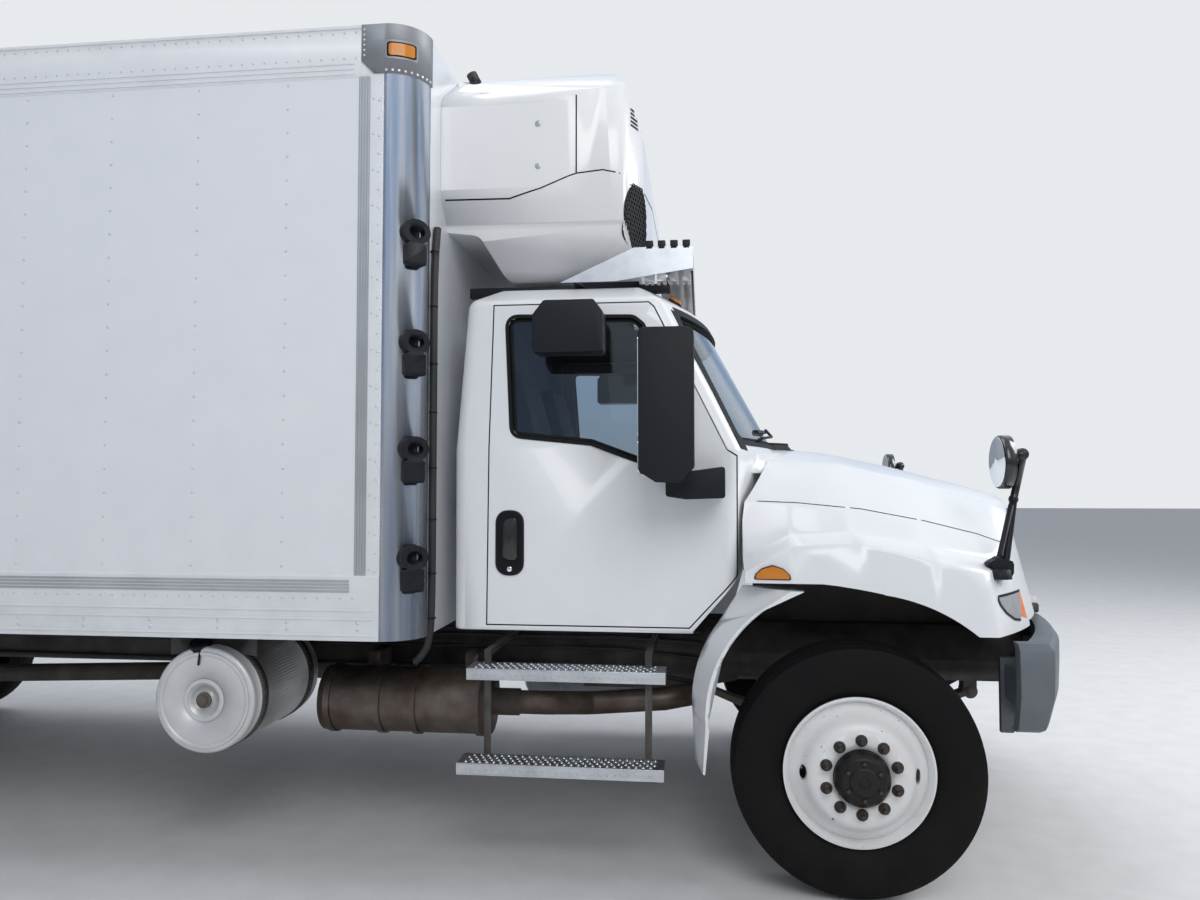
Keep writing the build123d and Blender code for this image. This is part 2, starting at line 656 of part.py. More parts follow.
# Doors: a panel cut from the cab's side, its glass, and its mirrors
with BuildPart() as door_left:
    add(side_layer(0, cab_skin))
    with BuildPart(mode=Mode.PRIVATE) as door_region:
        side_prism(door_outline, 700, 1200)
        side_prism(window_outline, 700, 1200, radius=45, mode=Mode.SUBTRACT)
    add(door_region.part, mode=Mode.INTERSECT)
door_left.part.label = "door_left"
export_step(door_left.part, "parts/door_left.step")
with BuildPart() as door_right:
    mirror(door_left.part, about=Plane.XZ)
door_right.part.label = "door_right"
export_step(door_right.part, "parts/door_right.step")
with BuildPart() as door_glass_left:
    add(side_layer(glass_depth, glass_thickness))
    with BuildPart(mode=Mode.PRIVATE) as window_region:
        side_prism(grown(window_outline, -seat_gap), 700, 1200, radius=45)
    add(window_region.part, mode=Mode.INTERSECT)
door_glass_left.part.label = "door_glass_left"
export_step(door_glass_left.part, "parts/door_glass_left.step")
with BuildPart() as door_glass_right:
    mirror(door_glass_left.part, about=Plane.XZ)
door_glass_right.part.label = "door_glass_right"
export_step(door_glass_right.part, "parts/door_glass_right.step")

# Door mirrors: a tall housing on an arm from the door's front corner, and a look-down mirror
mirror_y = 1210            # inboard face of the tall housing
mirror_width = 250
with BuildPart() as door_mirrors_left:
    tall = [(-856, 1700), (-856, 2235), (-840, 2253), (-660, 2253), (-644, 2235), (-644, 1720), (-700, 1658),
            (-790, 1658)]
    side_prism(tall, mirror_y, mirror_y + mirror_width)
    fillet(door_mirrors_left.part.edges().filter_by(Axis.Y), 18)
    side_prism([(-760, 1602), (-760, 1680), (-690, 1700), (-523, 1722), (-523, 1595), (-680, 1590)],
               cab_half_width - 20, mirror_y + 60, radius=12)
    side_prism([(-1317, 2200), (-1317, 2360), (-1270, 2420), (-1060, 2420), (-1022, 2370), (-1022, 2200)],
               1080, 1210, radius=14)
    side_prism([(-1200, 2386), (-1200, 2408), (-1110, 2408), (-1110, 2386)], 960, 1085)
    door_side = [(900, cab_floor), (cab_half_width - 8 + seat_gap, cab_floor),
                 (cab_half_width + seat_gap, cab_belt), (cab_half_width - 55 + seat_gap, cab_eave), (900, cab_eave)]
    cross_prism(door_side, st(-1400), st(-500), mode=Mode.SUBTRACT)
door_mirrors_left.part.label = "door_mirrors_left"
export_step(door_mirrors_left.part, "parts/door_mirrors_left.step")
with BuildPart() as door_mirrors_right:
    mirror(door_mirrors_left.part, about=Plane.XZ)
door_mirrors_right.part.label = "door_mirrors_right"
export_step(door_mirrors_right.part, "parts/door_mirrors_right.step")

# Cab interior: two seats, the dash and the steering wheel on its column
seat_y = 460
seat_width = 500
dash_inset = cab_skin + seat_gap
with BuildPart() as cab_interior:
    for side in (-1, 1):
        y0, y1 = side * seat_y - seat_width / 2, side * seat_y + seat_width / 2
        block(st(-1330), st(-930), y0 + 60, y1 - 60, cab_floor + cab_skin, 1380)
        side_prism([(-1400, 1380), (-1400, 1500), (-900, 1520), (-870, 1400)], y0, y1, radius=30)
        side_prism([(-1395, 1440), (-1560, 2190), (-1480, 2200), (-1280, 1440)], y0, y1, radius=25)
    with BuildPart(mode=Mode.PRIVATE) as dash:
        side_prism([(-790, 1330), (-830, 1700), (-700, 1790), (-200, 1800), (-200, 1330)], -1030, 1030)
        add(cab_solid(dash_inset, dash_inset, cab_skin, 0.8 * cab_skin, 20), mode=Mode.INTERSECT)
        add(wheelhouse(dash_inset), mode=Mode.SUBTRACT)
    add(dash.part)
    column = Vector(-0.88, 0, 0.47)
    bar((st(-790), seat_y, 1640), column, 32, 150)
    rim_plane = Plane(origin=(st(-905), seat_y, 1702), z_dir=column)
    with BuildSketch(rim_plane) as wheel_rim:
        Circle(228)
        Circle(198, mode=Mode.SUBTRACT)
        Circle(60)
        with PolarLocations(130, 3, start_angle=90):
            Rectangle(150, 34)
    extrude(wheel_rim.sketch, amount=26)
cab_interior.part.label = "cab_interior"
export_step(cab_interior.part, "parts/cab_interior.step")

lamp_outline = [(655, 1120), (800, 1065), (724, 1206), (573, 1209)]
grille_outline = [(-430, 1135), (430, 1135), (330, 1490), (-330, 1490)]
with BuildPart() as hood:
    add(hood_solid(0))
    add(hood_solid(hood_skin, drop=30), mode=Mode.SUBTRACT)
    add(behind_hood(0), mode=Mode.SUBTRACT)
    side_prism([(-700, 900), (-700, fender_split_z), (100, fender_split_z), (100, 900)], -1300, 1300,
               mode=Mode.SUBTRACT)
    bar((st(0), -1300, tyre_radius), (0, 1, 0), arch_radius, 2600, mode=Mode.SUBTRACT)
    block(st(760), st(1100), -900, 900, 900, hood_pivot_z + 5, mode=Mode.SUBTRACT)
    cross_prism(grown(grille_outline, seat_gap), st(600), st(1100), mode=Mode.SUBTRACT)
    for y0, y1 in ((880, 1300), (-1300, -880)):
        side_prism(grown(lamp_outline, seat_gap), y0, y1, mode=Mode.SUBTRACT)
    for side in (-1, 1):
        y0 = side * arm_y - arm_thickness / 2
        side_prism([(935, 1040), (985, 1060), (968, 1115), (920, 1115)], y0, y0 + arm_thickness, radius=6)
        bar((st(hood_pivot_x), y0 - 1, hood_pivot_z), (0, 1, 0), hood_pin_radius + seat_gap,
            arm_thickness + 2, mode=Mode.SUBTRACT)
        y0, y1 = sorted((side * (lug_y - 5.2), side * (lug_y + lug_thickness + 6)))
        block(st(900), st(1100), y0, y1, 1040, 1102, mode=Mode.SUBTRACT)
hood.part.label = "hood"
export_step(hood.part, "parts/hood.step")

# Grille: a framed panel of cross bars in the hood's nose
grille_bars = 6
with BuildPart() as grille:
    add(hood_solid(0))
    add(hood_solid(hood_skin + 15, drop=30), mode=Mode.SUBTRACT)
    with BuildPart(mode=Mode.PRIVATE) as grille_region:
        cross_prism(grille_outline, st(700), st(1100))
        (y_low, z_low), (y_high, z_high) = grille_outline[1], grille_outline[2]
        pitch = (z_high - z_low - 60) / grille_bars
        for row in range(grille_bars):
            z0 = z_low + 30 + row * pitch + 12
            z1 = z0 + pitch - 24
            taper = (y_low - y_high) / (z_high - z_low)
            w0 = y_low - 45 - (z0 - z_low) * taper
            w1 = y_low - 45 - (z1 - z_low) * taper
            for side in (-1, 1):
                cross_prism([(side * 14, z0), (side * w0, z0), (side * w1, z1), (side * 14, z1)], st(600),
                            st(1200), mode=Mode.SUBTRACT)
    add(grille_region.part, mode=Mode.INTERSECT)
grille.part.label = "grille"
export_step(grille.part, "parts/grille.step")

# Headlamps in the front corners of the fenders
lamp_depth = 90
with BuildPart() as headlamps:
    add(hood_solid(0))
    add(hood_solid(lamp_depth, drop=30), mode=Mode.SUBTRACT)
    with BuildPart(mode=Mode.PRIVATE) as lamp_region:
        for y0, y1 in ((880, 1300), (-1300, -880)):
            side_prism(lamp_outline, y0, y1)
    add(lamp_region.part, mode=Mode.INTERSECT)
headlamps.part.label = "headlamps"
export_step(headlamps.part, "parts/headlamps.step")

# Hood mirrors: a round head on a raked arm from each fender
hood_mirror_y = 1085
with BuildPart() as hood_mirrors:
    y = hood_mirror_y
    bar((st(612), y, 1740), (-1, 0, 0), 108, 45)
    fillet(hood_mirrors.faces().sort_by(Axis.X)[0].edges(), 12)
    bar((st(565), y, 1272), (0, 0, 1), 52, 40)
    bar((st(600), y - 30, 1300), (36, 10, 290), 15, 292.4)
    with Locations((st(636), y - 20, 1590)):
        Sphere(19)
    bar((st(636), y - 20, 1590), (35, 20, 185), 15, 190)
    bar((st(660), y - 25, 1771), (0, 1, 0), 24, 50)
    bar((st(560), y - 5, 1300), (62, 0, 268), 11, 275)
    bar((st(668), y, 1771), (-1, 0, -0.25), 14, 70)
    add(hood_solid(-seat_gap), mode=Mode.SUBTRACT)
    both_sides()
hood_mirrors.part.label = "hood_mirrors"
export_step(hood_mirrors.part, "parts/hood_mirrors.step")

# Bumper: a moulded bar lofted through level sections, open behind, on brackets to the frame.
# (Z, front in the middle, front at the corners, half width)
bumper_sections = ((682, 965, 690, 1150), (700, 985, 700, 1185), (830, 1010, 722, 1220),
                   (930, 1016, 726, 1220), (1005, 1018, 728, 1215), (1033, 1000, 715, 1195))
bumper_depth = 60
bumper_tail = 600
with BuildPart() as bumper:
    def bumper_form(inset, back):
        """The bumper's level sections, moved inwards by an inset."""
        with BuildPart() as form:
            for z, middle, corner, width in bumper_sections:
                w = width - inset
                with BuildSketch(Plane.XY.offset(z)):
                    with BuildLine():
                        Polyline((st(corner - inset), w), (st(back), w), (st(back), -w), (st(corner - inset), -w))
                        ThreePointArc((st(corner - inset), -w), (st(middle - inset), 0), (st(corner - inset), w))
                    make_face()
            loft(ruled=True)
        return form.part

    add(bumper_form(0, bumper_tail))
    add(bumper_form(bumper_depth, bumper_tail - 100), mode=Mode.SUBTRACT)
    block(st(frame_nose + seat_gap), st(970), rail_outer - 200, rail_outer - 5, 726, 940)
    block(st(frame_nose + seat_gap), st(970), 5 - rail_outer, 200 - rail_outer, 726, 940)
    for side in (-1, 1):
        y0 = side * 905
        side_prism([(620, 615), (620, 926), (690, 926), (690, 640), (670, 615)], y0 - 12, y0 + 12)
        block(st(640), st(700), side * 893, side * 1140, 760, 900)
bumper.part.label = "bumper"
export_step(bumper.part, "parts/bumper.step")

# Quarter fenders behind the front wheels: an arched lip that sweeps back to the cab, with a liner
# Outer and inner edges of the lip, as (station, Z), from top to bottom
lip_rear = ((-448, 1229), (-549, 1074), (-640, 893), (-660, 709), (-649, 499))
lip_front = ((-211, 1221), (-362, 1149), (-520, 975), (-590, 668), (-608, 484))
fender_inner_y = 1048
liner_y = 560
with BuildPart() as quarter_fenders:
    def lip_section(y, front_share):
        """The lip's side outline at a Y, narrowed towards its front edge."""
        rear = [(f[0] + (r[0] - f[0]) * front_share, f[1] + (r[1] - f[1]) * front_share)
                for r, f in zip(lip_rear, lip_front)]
        with BuildSketch(side_plane(y)) as section:
            with BuildLine():
                points = [(st(x), z) for x, z in rear]
                edge = [(st(x), z) for x, z in reversed(lip_front)]
                Line(points[0], points[1])
                ThreePointArc(points[1], points[2], points[3])
                Line(points[3], points[4])
                Line(points[4], edge[0])
                Line(edge[0], edge[1])
                ThreePointArc(edge[1], edge[2], edge[3])
                Line(edge[3], edge[4])
                Line(edge[4], points[0])
            make_face()
        return section.sketch

    loft(sections=[lip_section(fender_inner_y, 1), lip_section(fender_half_width, 0.22)], ruled=True)
    arch = [(-362, 1149), (-520, 975), (-590, 668), (-604, 668), (-534, 981), (-376, 1161)]
    side_prism(arch, liner_y, fender_inner_y + 5)
    both_sides()
quarter_fenders.part.label = "quarter_fenders"
export_step(quarter_fenders.part, "parts/quarter_fenders.step")

# Cab steps: grip treads on hangers, two on each side
hanger_y = 1014
arm_top = 930
step_tops = ((866, -1619, -770, 1100), (482, -1647, -775, 1150))   # top Z, rear, front, outer Y
with BuildPart() as cab_steps:
    for z, rear, front, y_out in step_tops:
        side_prism([(rear, z - tread_face), (front, z - tread_face), (front, z), (rear, z)],
                   y_out - step_depth, y_out)
        block(st(rear + 6), st(front - 6), y_out - step_depth + 6, y_out - 6, z - tread_face - 2, z - 6,
              mode=Mode.SUBTRACT)
    for station in (-1560, -860):
        block(st(station), st(station + 30), hanger_y, hanger_y + 8, 440, arm_top)
    both_sides()
    for station in (-1560, -860):
        for side in (-1, 1):
            y0, y1 = sorted((side * (rail_outer + seat_gap), side * (hanger_y + 4)))
            block(st(station), st(station + 30), y0, y1, arm_top - 25, arm_top)
cab_steps.part.label = "cab_steps"
export_step(cab_steps.part, "parts/cab_steps.step")

# Main fuel tank along the left rail, strapped to brackets
tank_y = 724
tank_z = 612
tank_rear, tank_front = -1700, -720
with BuildPart() as fuel_tank:
    bar((st(tank_rear), tank_y, tank_z), (1, 0, 0), fuel_tank_radius, tank_front - tank_rear)
    fillet(fuel_tank.part.edges().filter_by(GeomType.CIRCLE), 40)
    for station in (-1500, -940):
        bar((st(station), tank_y, tank_z), (1, 0, 0), fuel_tank_radius + 5, 50)
        block(st(station), st(station + 50), rail_outer + seat_gap, 520, rail_bottom + 10, 890)
    bar((st(-1180), tank_y + 120, tank_z + 200), (0, 0.3, 1), 45, 85)
fuel_tank.part.label = "fuel_tank"
export_step(fuel_tank.part, "parts/fuel_tank.step")

# Fuel tank of the cooling unit: a drum across the right side, hung from the box's sills
drum_x, drum_z = -2748, 722
drum_out, drum_in = 1200, 560
with BuildPart() as cooler_tank:
    bar((st(drum_x), -drum_out, drum_z), (0, 1, 0), cooler_tank_radius, drum_out - drum_in)
    fillet(cooler_tank.part.edges().filter_by(GeomType.CIRCLE), 16)
    bar((st(drum_x), -drum_out - 1, drum_z), (0, 1, 0), 62, 20, mode=Mode.SUBTRACT)
    bar((st(drum_x), -drum_out + 2, drum_z), (0, 1, 0), 26, 30)
    for y in (-1130, -680):
        bar((st(drum_x), y, drum_z), (0, 1, 0), cooler_tank_radius + 5, 50)
        side_prism([(drum_x - 200, 900), (drum_x - 200, sill_bottom - seat_gap),
                    (drum_x + 200, sill_bottom - seat_gap), (drum_x + 200, 900), (drum_x, 930)], y, y + 50)
    bar((st(drum_x + 20), -1040, drum_z + 200), (0.12, 0, 1), 48, 75)
cooler_tank.part.label = "cooler_tank"
export_step(cooler_tank.part, "parts/cooler_tank.step")

# Exhaust treatment canister along the right rail, with its clamps, brackets and pipes
canister_y, canister_z = -700, 630
can_rear, can_front = -2400, -1600
with BuildPart() as exhaust:
    bar((st(can_rear), canister_y, canister_z), (1, 0, 0), canister_radius, can_front - can_rear)
    for station in (-2370, -2130, -1960, -1660):
        bar((st(station), canister_y, canister_z), (1, 0, 0), canister_radius + 9, 28)
    for station in (-2250, -1760):
        block(st(station), st(station + 60), canister_y + 100, -rail_outer - seat_gap, canister_z + 60,
              canister_z + 200)
    bar((st(can_front), canister_y, canister_z), (1, 0, 0), 62, 130)
    with BuildLine() as route:
        FilletPolyline((st(can_front + 100), canister_y, canister_z), (st(-1330), canister_y, canister_z),
                       (st(-1150), -560, 600), (st(-800), -520, 620), (st(-600), -490, 655), radius=90)
    with BuildSketch(Plane(origin=route.line @ 0, z_dir=route.line % 0)) as pipe:
        Circle(54)
    sweep(pipe.sketch, path=route.line)
exhaust.part.label = "exhaust"
export_step(exhaust.part, "parts/exhaust.step")

# Box floor: an insulated slab on cross sills and two long sills over the rails
with BuildPart() as box_floor:
    x0, x1 = x_box_rear + rear_frame_depth + seat_gap, x_corner + corner_radius - wall - seat_gap
    y_floor = inner_y - seat_gap
    with BuildSketch(Plane.XY.offset(floor_top - floor_thickness)) as slab:
        with Locations(((x0 + x1) / 2, 0)):
            Rectangle(x1 - x0, 2 * y_floor)
        fillet(slab.vertices().sort_by(Axis.X)[-2:], corner_radius - wall)
    extrude(slab.sketch, amount=floor_thickness)
    sill_count = int((x1 - x0 - 200) // sill_pitch)
    sill_flange, sill_web = 60, 8
    for number in range(sill_count + 1):
        x = x0 + 100 + number * sill_pitch
        profile = [(x, sill_bottom), (x + sill_flange, sill_bottom), (x + sill_flange, sill_bottom + sill_web),
                   (x + sill_web, sill_bottom + sill_web), (x + sill_web, sill_bottom + sill_height),
                   (x, sill_bottom + sill_height)]
        extrude(outline(side_plane(y_floor), profile), amount=2 * y_floor)
    for side in (-1, 1):
        y_mid = side * (rail_outer - rail_flange / 2)
        block(x0 + 60, st(-1850), y_mid - 38, y_mid + 38, rail_top, sill_bottom)
box_floor.part.label = "box_floor"
export_step(box_floor.part, "parts/box_floor.step")

# Side walls: insulated panels between a lower side rail and a top rail
cap_back = 98              # the corner castings reach back along the top rails
cap_bottom = 3380
with BuildPart() as box_side_walls:
    x0, x1 = x_box_rear + rear_frame_depth + seat_gap, x_corner
    section = [(inner_y, box_bottom), (half, box_bottom), (half, lower_rail_top), (panel_y, lower_rail_top + 8),
               (panel_y, upper_rail_bottom - 8), (half, upper_rail_bottom), (half, box_top), (inner_y, box_top)]
    cross_prism(section, x0, x1)
    block(x_corner - cap_back, x_corner, panel_y, half, cap_bottom, box_top, mode=Mode.SUBTRACT)
    both_sides()
box_side_walls.part.label = "box_side_walls"
export_step(box_side_walls.part, "parts/box_side_walls.step")

# Front wall between the corner posts
with BuildPart() as box_front_wall:
    block(x_box_front - wall, x_box_front, -corner_y + seat_gap, corner_y - seat_gap, box_bottom, box_top)
box_front_wall.part.label = "box_front_wall"
export_step(box_front_wall.part, "parts/box_front_wall.step")

# Corner posts: polished quarter rounds, with a cast cap round the top of each
cap_thickness = 8
with BuildPart() as box_corners:
    def ring_sector(inner, outer, z0, z1):
        """A quarter ring about the left corner's centre."""
        with BuildSketch(Plane.XY.offset(z0)) as sector:
            with BuildLine():
                CenterArc((x_corner, corner_y), outer, 0, 90)
                Line((x_corner, corner_y + outer), (x_corner, corner_y + inner))
                CenterArc((x_corner, corner_y), inner, 0, 90)
                Line((x_corner + inner, corner_y), (x_corner + outer, corner_y))
            make_face()
        extrude(sector.sketch, amount=z1 - z0)

    ring_sector(corner_radius - wall, corner_radius, box_bottom, box_top)
    ring_sector(corner_radius - 2, corner_radius + cap_thickness, cap_bottom, box_top)
    with BuildSketch(side_plane(panel_y + cap_thickness)) as cap_side:
        with BuildLine():
            Polyline((x_corner, cap_bottom), (x_corner - cap_back + 60, cap_bottom),
                     (x_corner - cap_back, cap_bottom + 60), (x_corner - cap_back, box_top),
                     (x_corner, box_top), close=True)
        make_face()
    extrude(cap_side.sketch, amount=cap_thickness - seat_gap)
    both_sides()
box_corners.part.label = "box_corners"
export_step(box_corners.part, "parts/box_corners.step")

# Roof between the walls, rounded to fit inside the corner posts
with BuildPart() as box_roof:
    x0, x1 = x_box_rear + rear_frame_depth + seat_gap, x_box_front - wall - seat_gap
    with BuildSketch(Plane.XY.offset(box_top - roof_thickness)) as roof:
        with Locations(((x0 + x1) / 2, 0)):
            Rectangle(x1 - x0, 2 * (inner_y - seat_gap))
        fillet(roof.vertices().sort_by(Axis.X)[-2:], corner_radius - wall)
    extrude(roof.sketch, amount=roof_thickness)
box_roof.part.label = "box_roof"
export_step(box_roof.part, "parts/box_roof.step")

# Rear frame: posts, header and sill round the door opening, with hinge lugs and dock blocks
door_bottom, door_top = rear_sill_top + panel_gap, box_top - rear_header - panel_gap
hinge_x = x_box_rear - box_hinge_back
hinge_y = half - box_hinge_in
hinge_heights = (1420, 2080, 2740, 3320)
hinge_pin = 10
knuckle_length = 110
with BuildPart() as box_rear_frame:
    block(x_box_rear, x_box_rear + rear_frame_depth, -half, half, box_bottom, box_top)
    block(x_box_rear - 1, x_box_rear + rear_frame_depth + 1, -rear_opening_half, rear_opening_half,
          rear_sill_top, box_top - rear_header, mode=Mode.SUBTRACT)
    for side in (-1, 1):
        for z in hinge_heights:
            for z0 in (z - knuckle_length / 2 - 40.5, z + knuckle_length / 2 + 0.5):
                block(x_box_rear, hinge_x + 5, side * hinge_y - 9, side * hinge_y + 9, z0, z0 + 40)
                bar((hinge_x, side * hinge_y, z0), (0, 0, 1), 18, 40)
            bar((hinge_x, side * hinge_y, z - knuckle_length / 2 - 40.5), (0, 0, 1), hinge_pin,
                knuckle_length + 81)
        y0, y1 = sorted((side * 1060, side * 1250))
        block(x_box_rear - dock_reach, x_box_rear, y0, y1, 1015, 1215)
box_rear_frame.part.label = "box_rear_frame"
export_step(box_rear_frame.part, "parts/box_rear_frame.step")

# Rear doors: insulated leaves with hinge straps and two lock rods each
rod_radius = 14
strap_off = 6              # hinge straps clear of the rear frame
strap_thickness = 10
rod_places = (1020, 330)
with BuildPart() as box_door_left:
    y_edge = rear_opening_half - panel_gap
    block(x_box_rear, x_box_rear + box_door_thickness, box_door_gap / 2, y_edge, door_bottom, door_top)
    for z in hinge_heights:
        x_strap = x_box_rear - strap_off
        block(x_strap - strap_thickness, x_box_rear, y_edge - 260, y_edge - 6, z - 45, z + 45)
        block(x_strap - strap_thickness, x_strap, y_edge - 10, hinge_y, z - 45, z + 45)
        block(hinge_x - 5, x_strap, hinge_y - 12, hinge_y + 8, z - 45, z + 45)
        bar((hinge_x, hinge_y, z - knuckle_length / 2), (0, 0, 1), 18, knuckle_length)
    for z in hinge_heights:
        bar((hinge_x, hinge_y, z - knuckle_length), (0, 0, 1), hinge_pin + seat_gap, 2 * knuckle_length,
            mode=Mode.SUBTRACT)
    for y in rod_places:
        bar((x_box_rear - 32, y, door_bottom + 20), (0, 0, 1), rod_radius, door_top - door_bottom - 40)
        for z in (door_bottom + 120, 1750, 2450, door_top - 160):
            block(x_box_rear - 40, x_box_rear, y - 40, y + 40, z, z + 40)
box_door_left.part.label = "box_door_left"
export_step(box_door_left.part, "parts/box_door_left.step")
with BuildPart() as box_door_right:
    mirror(box_door_left.part, about=Plane.XZ)
box_door_right.part.label = "box_door_right"
export_step(box_door_right.part, "parts/box_door_right.step")

# Cooling unit on the front wall: its form is what three outlines have in common
unit_half = 985
unit_side = [(-1900, 2830), (-1634, 2800), (-1519, 2605), (-1249, 2615), (-912, 2700), (-872, 2775),
             (-858, 2858), (-855, 2994), (-858, 3105), (-876, 3247), (-918, 3376), (-974, 3535),
             (-1016, 3622), (-1115, 3684), (-1300, 3705), (-1620, 3700), (-1900, 3600)]
unit_cross = [(-780, 2605), (780, 2605), (880, 2836), (unit_half, 2945), (unit_half, 3404), (930, 3440),
              (640, 3640), (300, 3706), (-300, 3706), (-640, 3640), (-930, 3440), (-unit_half, 3404),
              (-unit_half, 2945), (-880, 2836)]
unit_plan = [(-1900, -unit_half), (-1190, -unit_half), (-960, -900), (-880, -720), (-855, -450), (-855, 450),
             (-880, 720), (-960, 900), (-1190, unit_half), (-1900, unit_half)]
with BuildPart() as cooling_unit:
    side_prism(unit_side, -unit_half, unit_half, radius=60)
    with BuildPart(mode=Mode.PRIVATE) as across:
        cross_prism(unit_cross, st(-1900), st(-800), radius=85)
    add(across.part, mode=Mode.INTERSECT)
    with BuildPart(mode=Mode.PRIVATE) as plan:
        extrude(outline(Plane.XY.offset(2500), [(st(x), y) for x, y in unit_plan], 120), amount=1300)
    add(plan.part, mode=Mode.INTERSECT)
    block(st(-2000), x_box_front, -1100, 1100, 2400, 3800, mode=Mode.SUBTRACT)
    bar((st(-1698), -700, 3500), (0, 0, 1), 26, 110)
    bar((st(-1698), -700, 3600), (-0.5, 0, 1), 26, 48)
cooling_unit.part.label = "cooling_unit"
export_step(cooling_unit.part, "parts/cooling_unit.step")

# Roof guard: an aluminium deflector on two bearers over the cab
with BuildPart() as roof_guard:
    guard_half = 900
    side_prism([(-835, 2712), (-835, 2700), (-660, 2700), (-660, 2600), (-650, 2600), (-650, 2712)],
               -guard_half, guard_half)
    for side in (-1, 1):
        y0 = side * guard_half - 4
        side_prism([(-1249, 2562), (-1000, 2562), (-650, 2612), (-650, 2712), (-913, 2712)], y0, y0 + 8)
        for station in (-866, -811, -756, -701):
            block(st(station), st(station + 40), side * 880 - 20, side * 880 + 20, 2560, 2712)
    for side in (-1, 1):
        y0, y1 = sorted((side * 690, side * 730))
        block(st(-1500), st(-760), y0, y1, cab_crown + seat_gap, cab_crown + 40)
        for station in (-1200, -800):
            y0, y1 = sorted((side * 700, side * guard_half))
            block(st(station), st(station + 40), y0, y1, cab_crown + 30, cab_crown + 40)
roof_guard.part.label = "roof_guard"
export_step(roof_guard.part, "parts/roof_guard.step")

# Hose hangers on the right corner post, and the hose bundle that runs past them
hanger_tops = (2758, 2296, 1851, 1402)
hanger_height = 205
with BuildPart() as hose_hangers:
    for z in hanger_tops:
        turn = Plane(origin=(x_corner + (corner_radius + seat_gap) * cos(radians(45)),
                             -corner_y - (corner_radius + seat_gap) * sin(radians(45)), z - hanger_height / 2),
                     x_dir=(1, 1, 0), z_dir=(1, -1, 0))
        with BuildSketch(turn) as plate:
            RectangleRounded(60, hanger_height, 12)
        extrude(plate.sketch, amount=14)
        with BuildSketch(turn.offset(14)) as ring:
            with Locations((0, 48)):
                Ellipse(62, 52)
                Ellipse(36, 26, mode=Mode.SUBTRACT)
            with Locations((0, -45)):
                RectangleRounded(88, 96, 14)
        extrude(ring.sketch, amount=42)
hose_hangers.part.label = "hose_hangers"
export_step(hose_hangers.part, "parts/hose_hangers.step")

bundle_radius = 17
bundle_x = -box_setback + bundle_radius + seat_gap
bundle_route = [(bundle_x, -1080, 2790), (bundle_x, -1116, 2560), (bundle_x, -1122, 2100),
                (bundle_x, -1122, 960), (bundle_x - 45, -1100, 905), (bundle_x - 105, -1070, 880)]
with BuildPart() as hose_bundle:
    with BuildLine() as bundle_line:
        FilletPolyline(*[(st(x), y, z) for x, y, z in bundle_route], radius=60)
    with BuildSketch(Plane(origin=bundle_line.line @ 0, z_dir=bundle_line.line % 0)) as round_section:
        Circle(bundle_radius)
    sweep(round_section.sketch, path=bundle_line.line)
hose_bundle.part.label = "hose_bundle"
export_step(hose_bundle.part, "parts/hose_bundle.step")

# Rear bumper: an underride bar on two legs from the rails
with BuildPart() as rear_bumper:
    block(x_box_rear + 20, x_box_rear + 120, -1200, 1200, 440, 550)
    for side in (-1, 1):
        y0, y1 = sorted((side * (rail_outer - 80), side * rail_outer))
        block(x_box_rear + 40, x_box_rear + frame_tail - seat_gap, y0, y1, 540, rail_top)
rear_bumper.part.label = "rear_bumper"
export_step(rear_bumper.part, "parts/rear_bumper.step")

# Mud flaps on arms from the rails, behind the twin wheels
with BuildPart() as mud_flaps:
    x_flap = x_rear_axle - 680
    block(x_flap, x_flap + 40, rail_outer + seat_gap, 1230, 900, 940)
    block(x_flap + 14, x_flap + 26, 600, 1220, 280, 905)
    both_sides()
mud_flaps.part.label = "mud_flaps"
export_step(mud_flaps.part, "parts/mud_flaps.step")

# Lamps: amber roof markers on the cab, corner markers, and round tail lamps
with BuildPart() as lamps:
    for side in (-1, 1):
        for y in (1010, 920, 830):
            bar((x_box_rear, side * y, 1130), (-1, 0, 0), 50, 12)
        for x, y_seat in ((st(-1995), panel_y + cap_thickness), (x_box_rear + 260, half)):
            block(x - 40, x + 40, side * (y_seat + seat_gap), side * (y_seat + 14), 3470, 3520)
lamps.part.label = "lamps"
export_step(lamps.part, "parts/lamps.step")
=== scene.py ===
"""Looks of a refrigerated truck: finishes, fasteners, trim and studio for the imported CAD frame.

Sizes are in metres. Stations run forward from the front axle, +Y is the truck's left and +Z is up.
"""

import json
import logging
import math
from dataclasses import dataclass
from enum import Enum
from typing import Callable, Iterable, Sequence

import bmesh
import bpy
from mathutils import Matrix, Vector
from mathutils.bvhtree import BVHTree

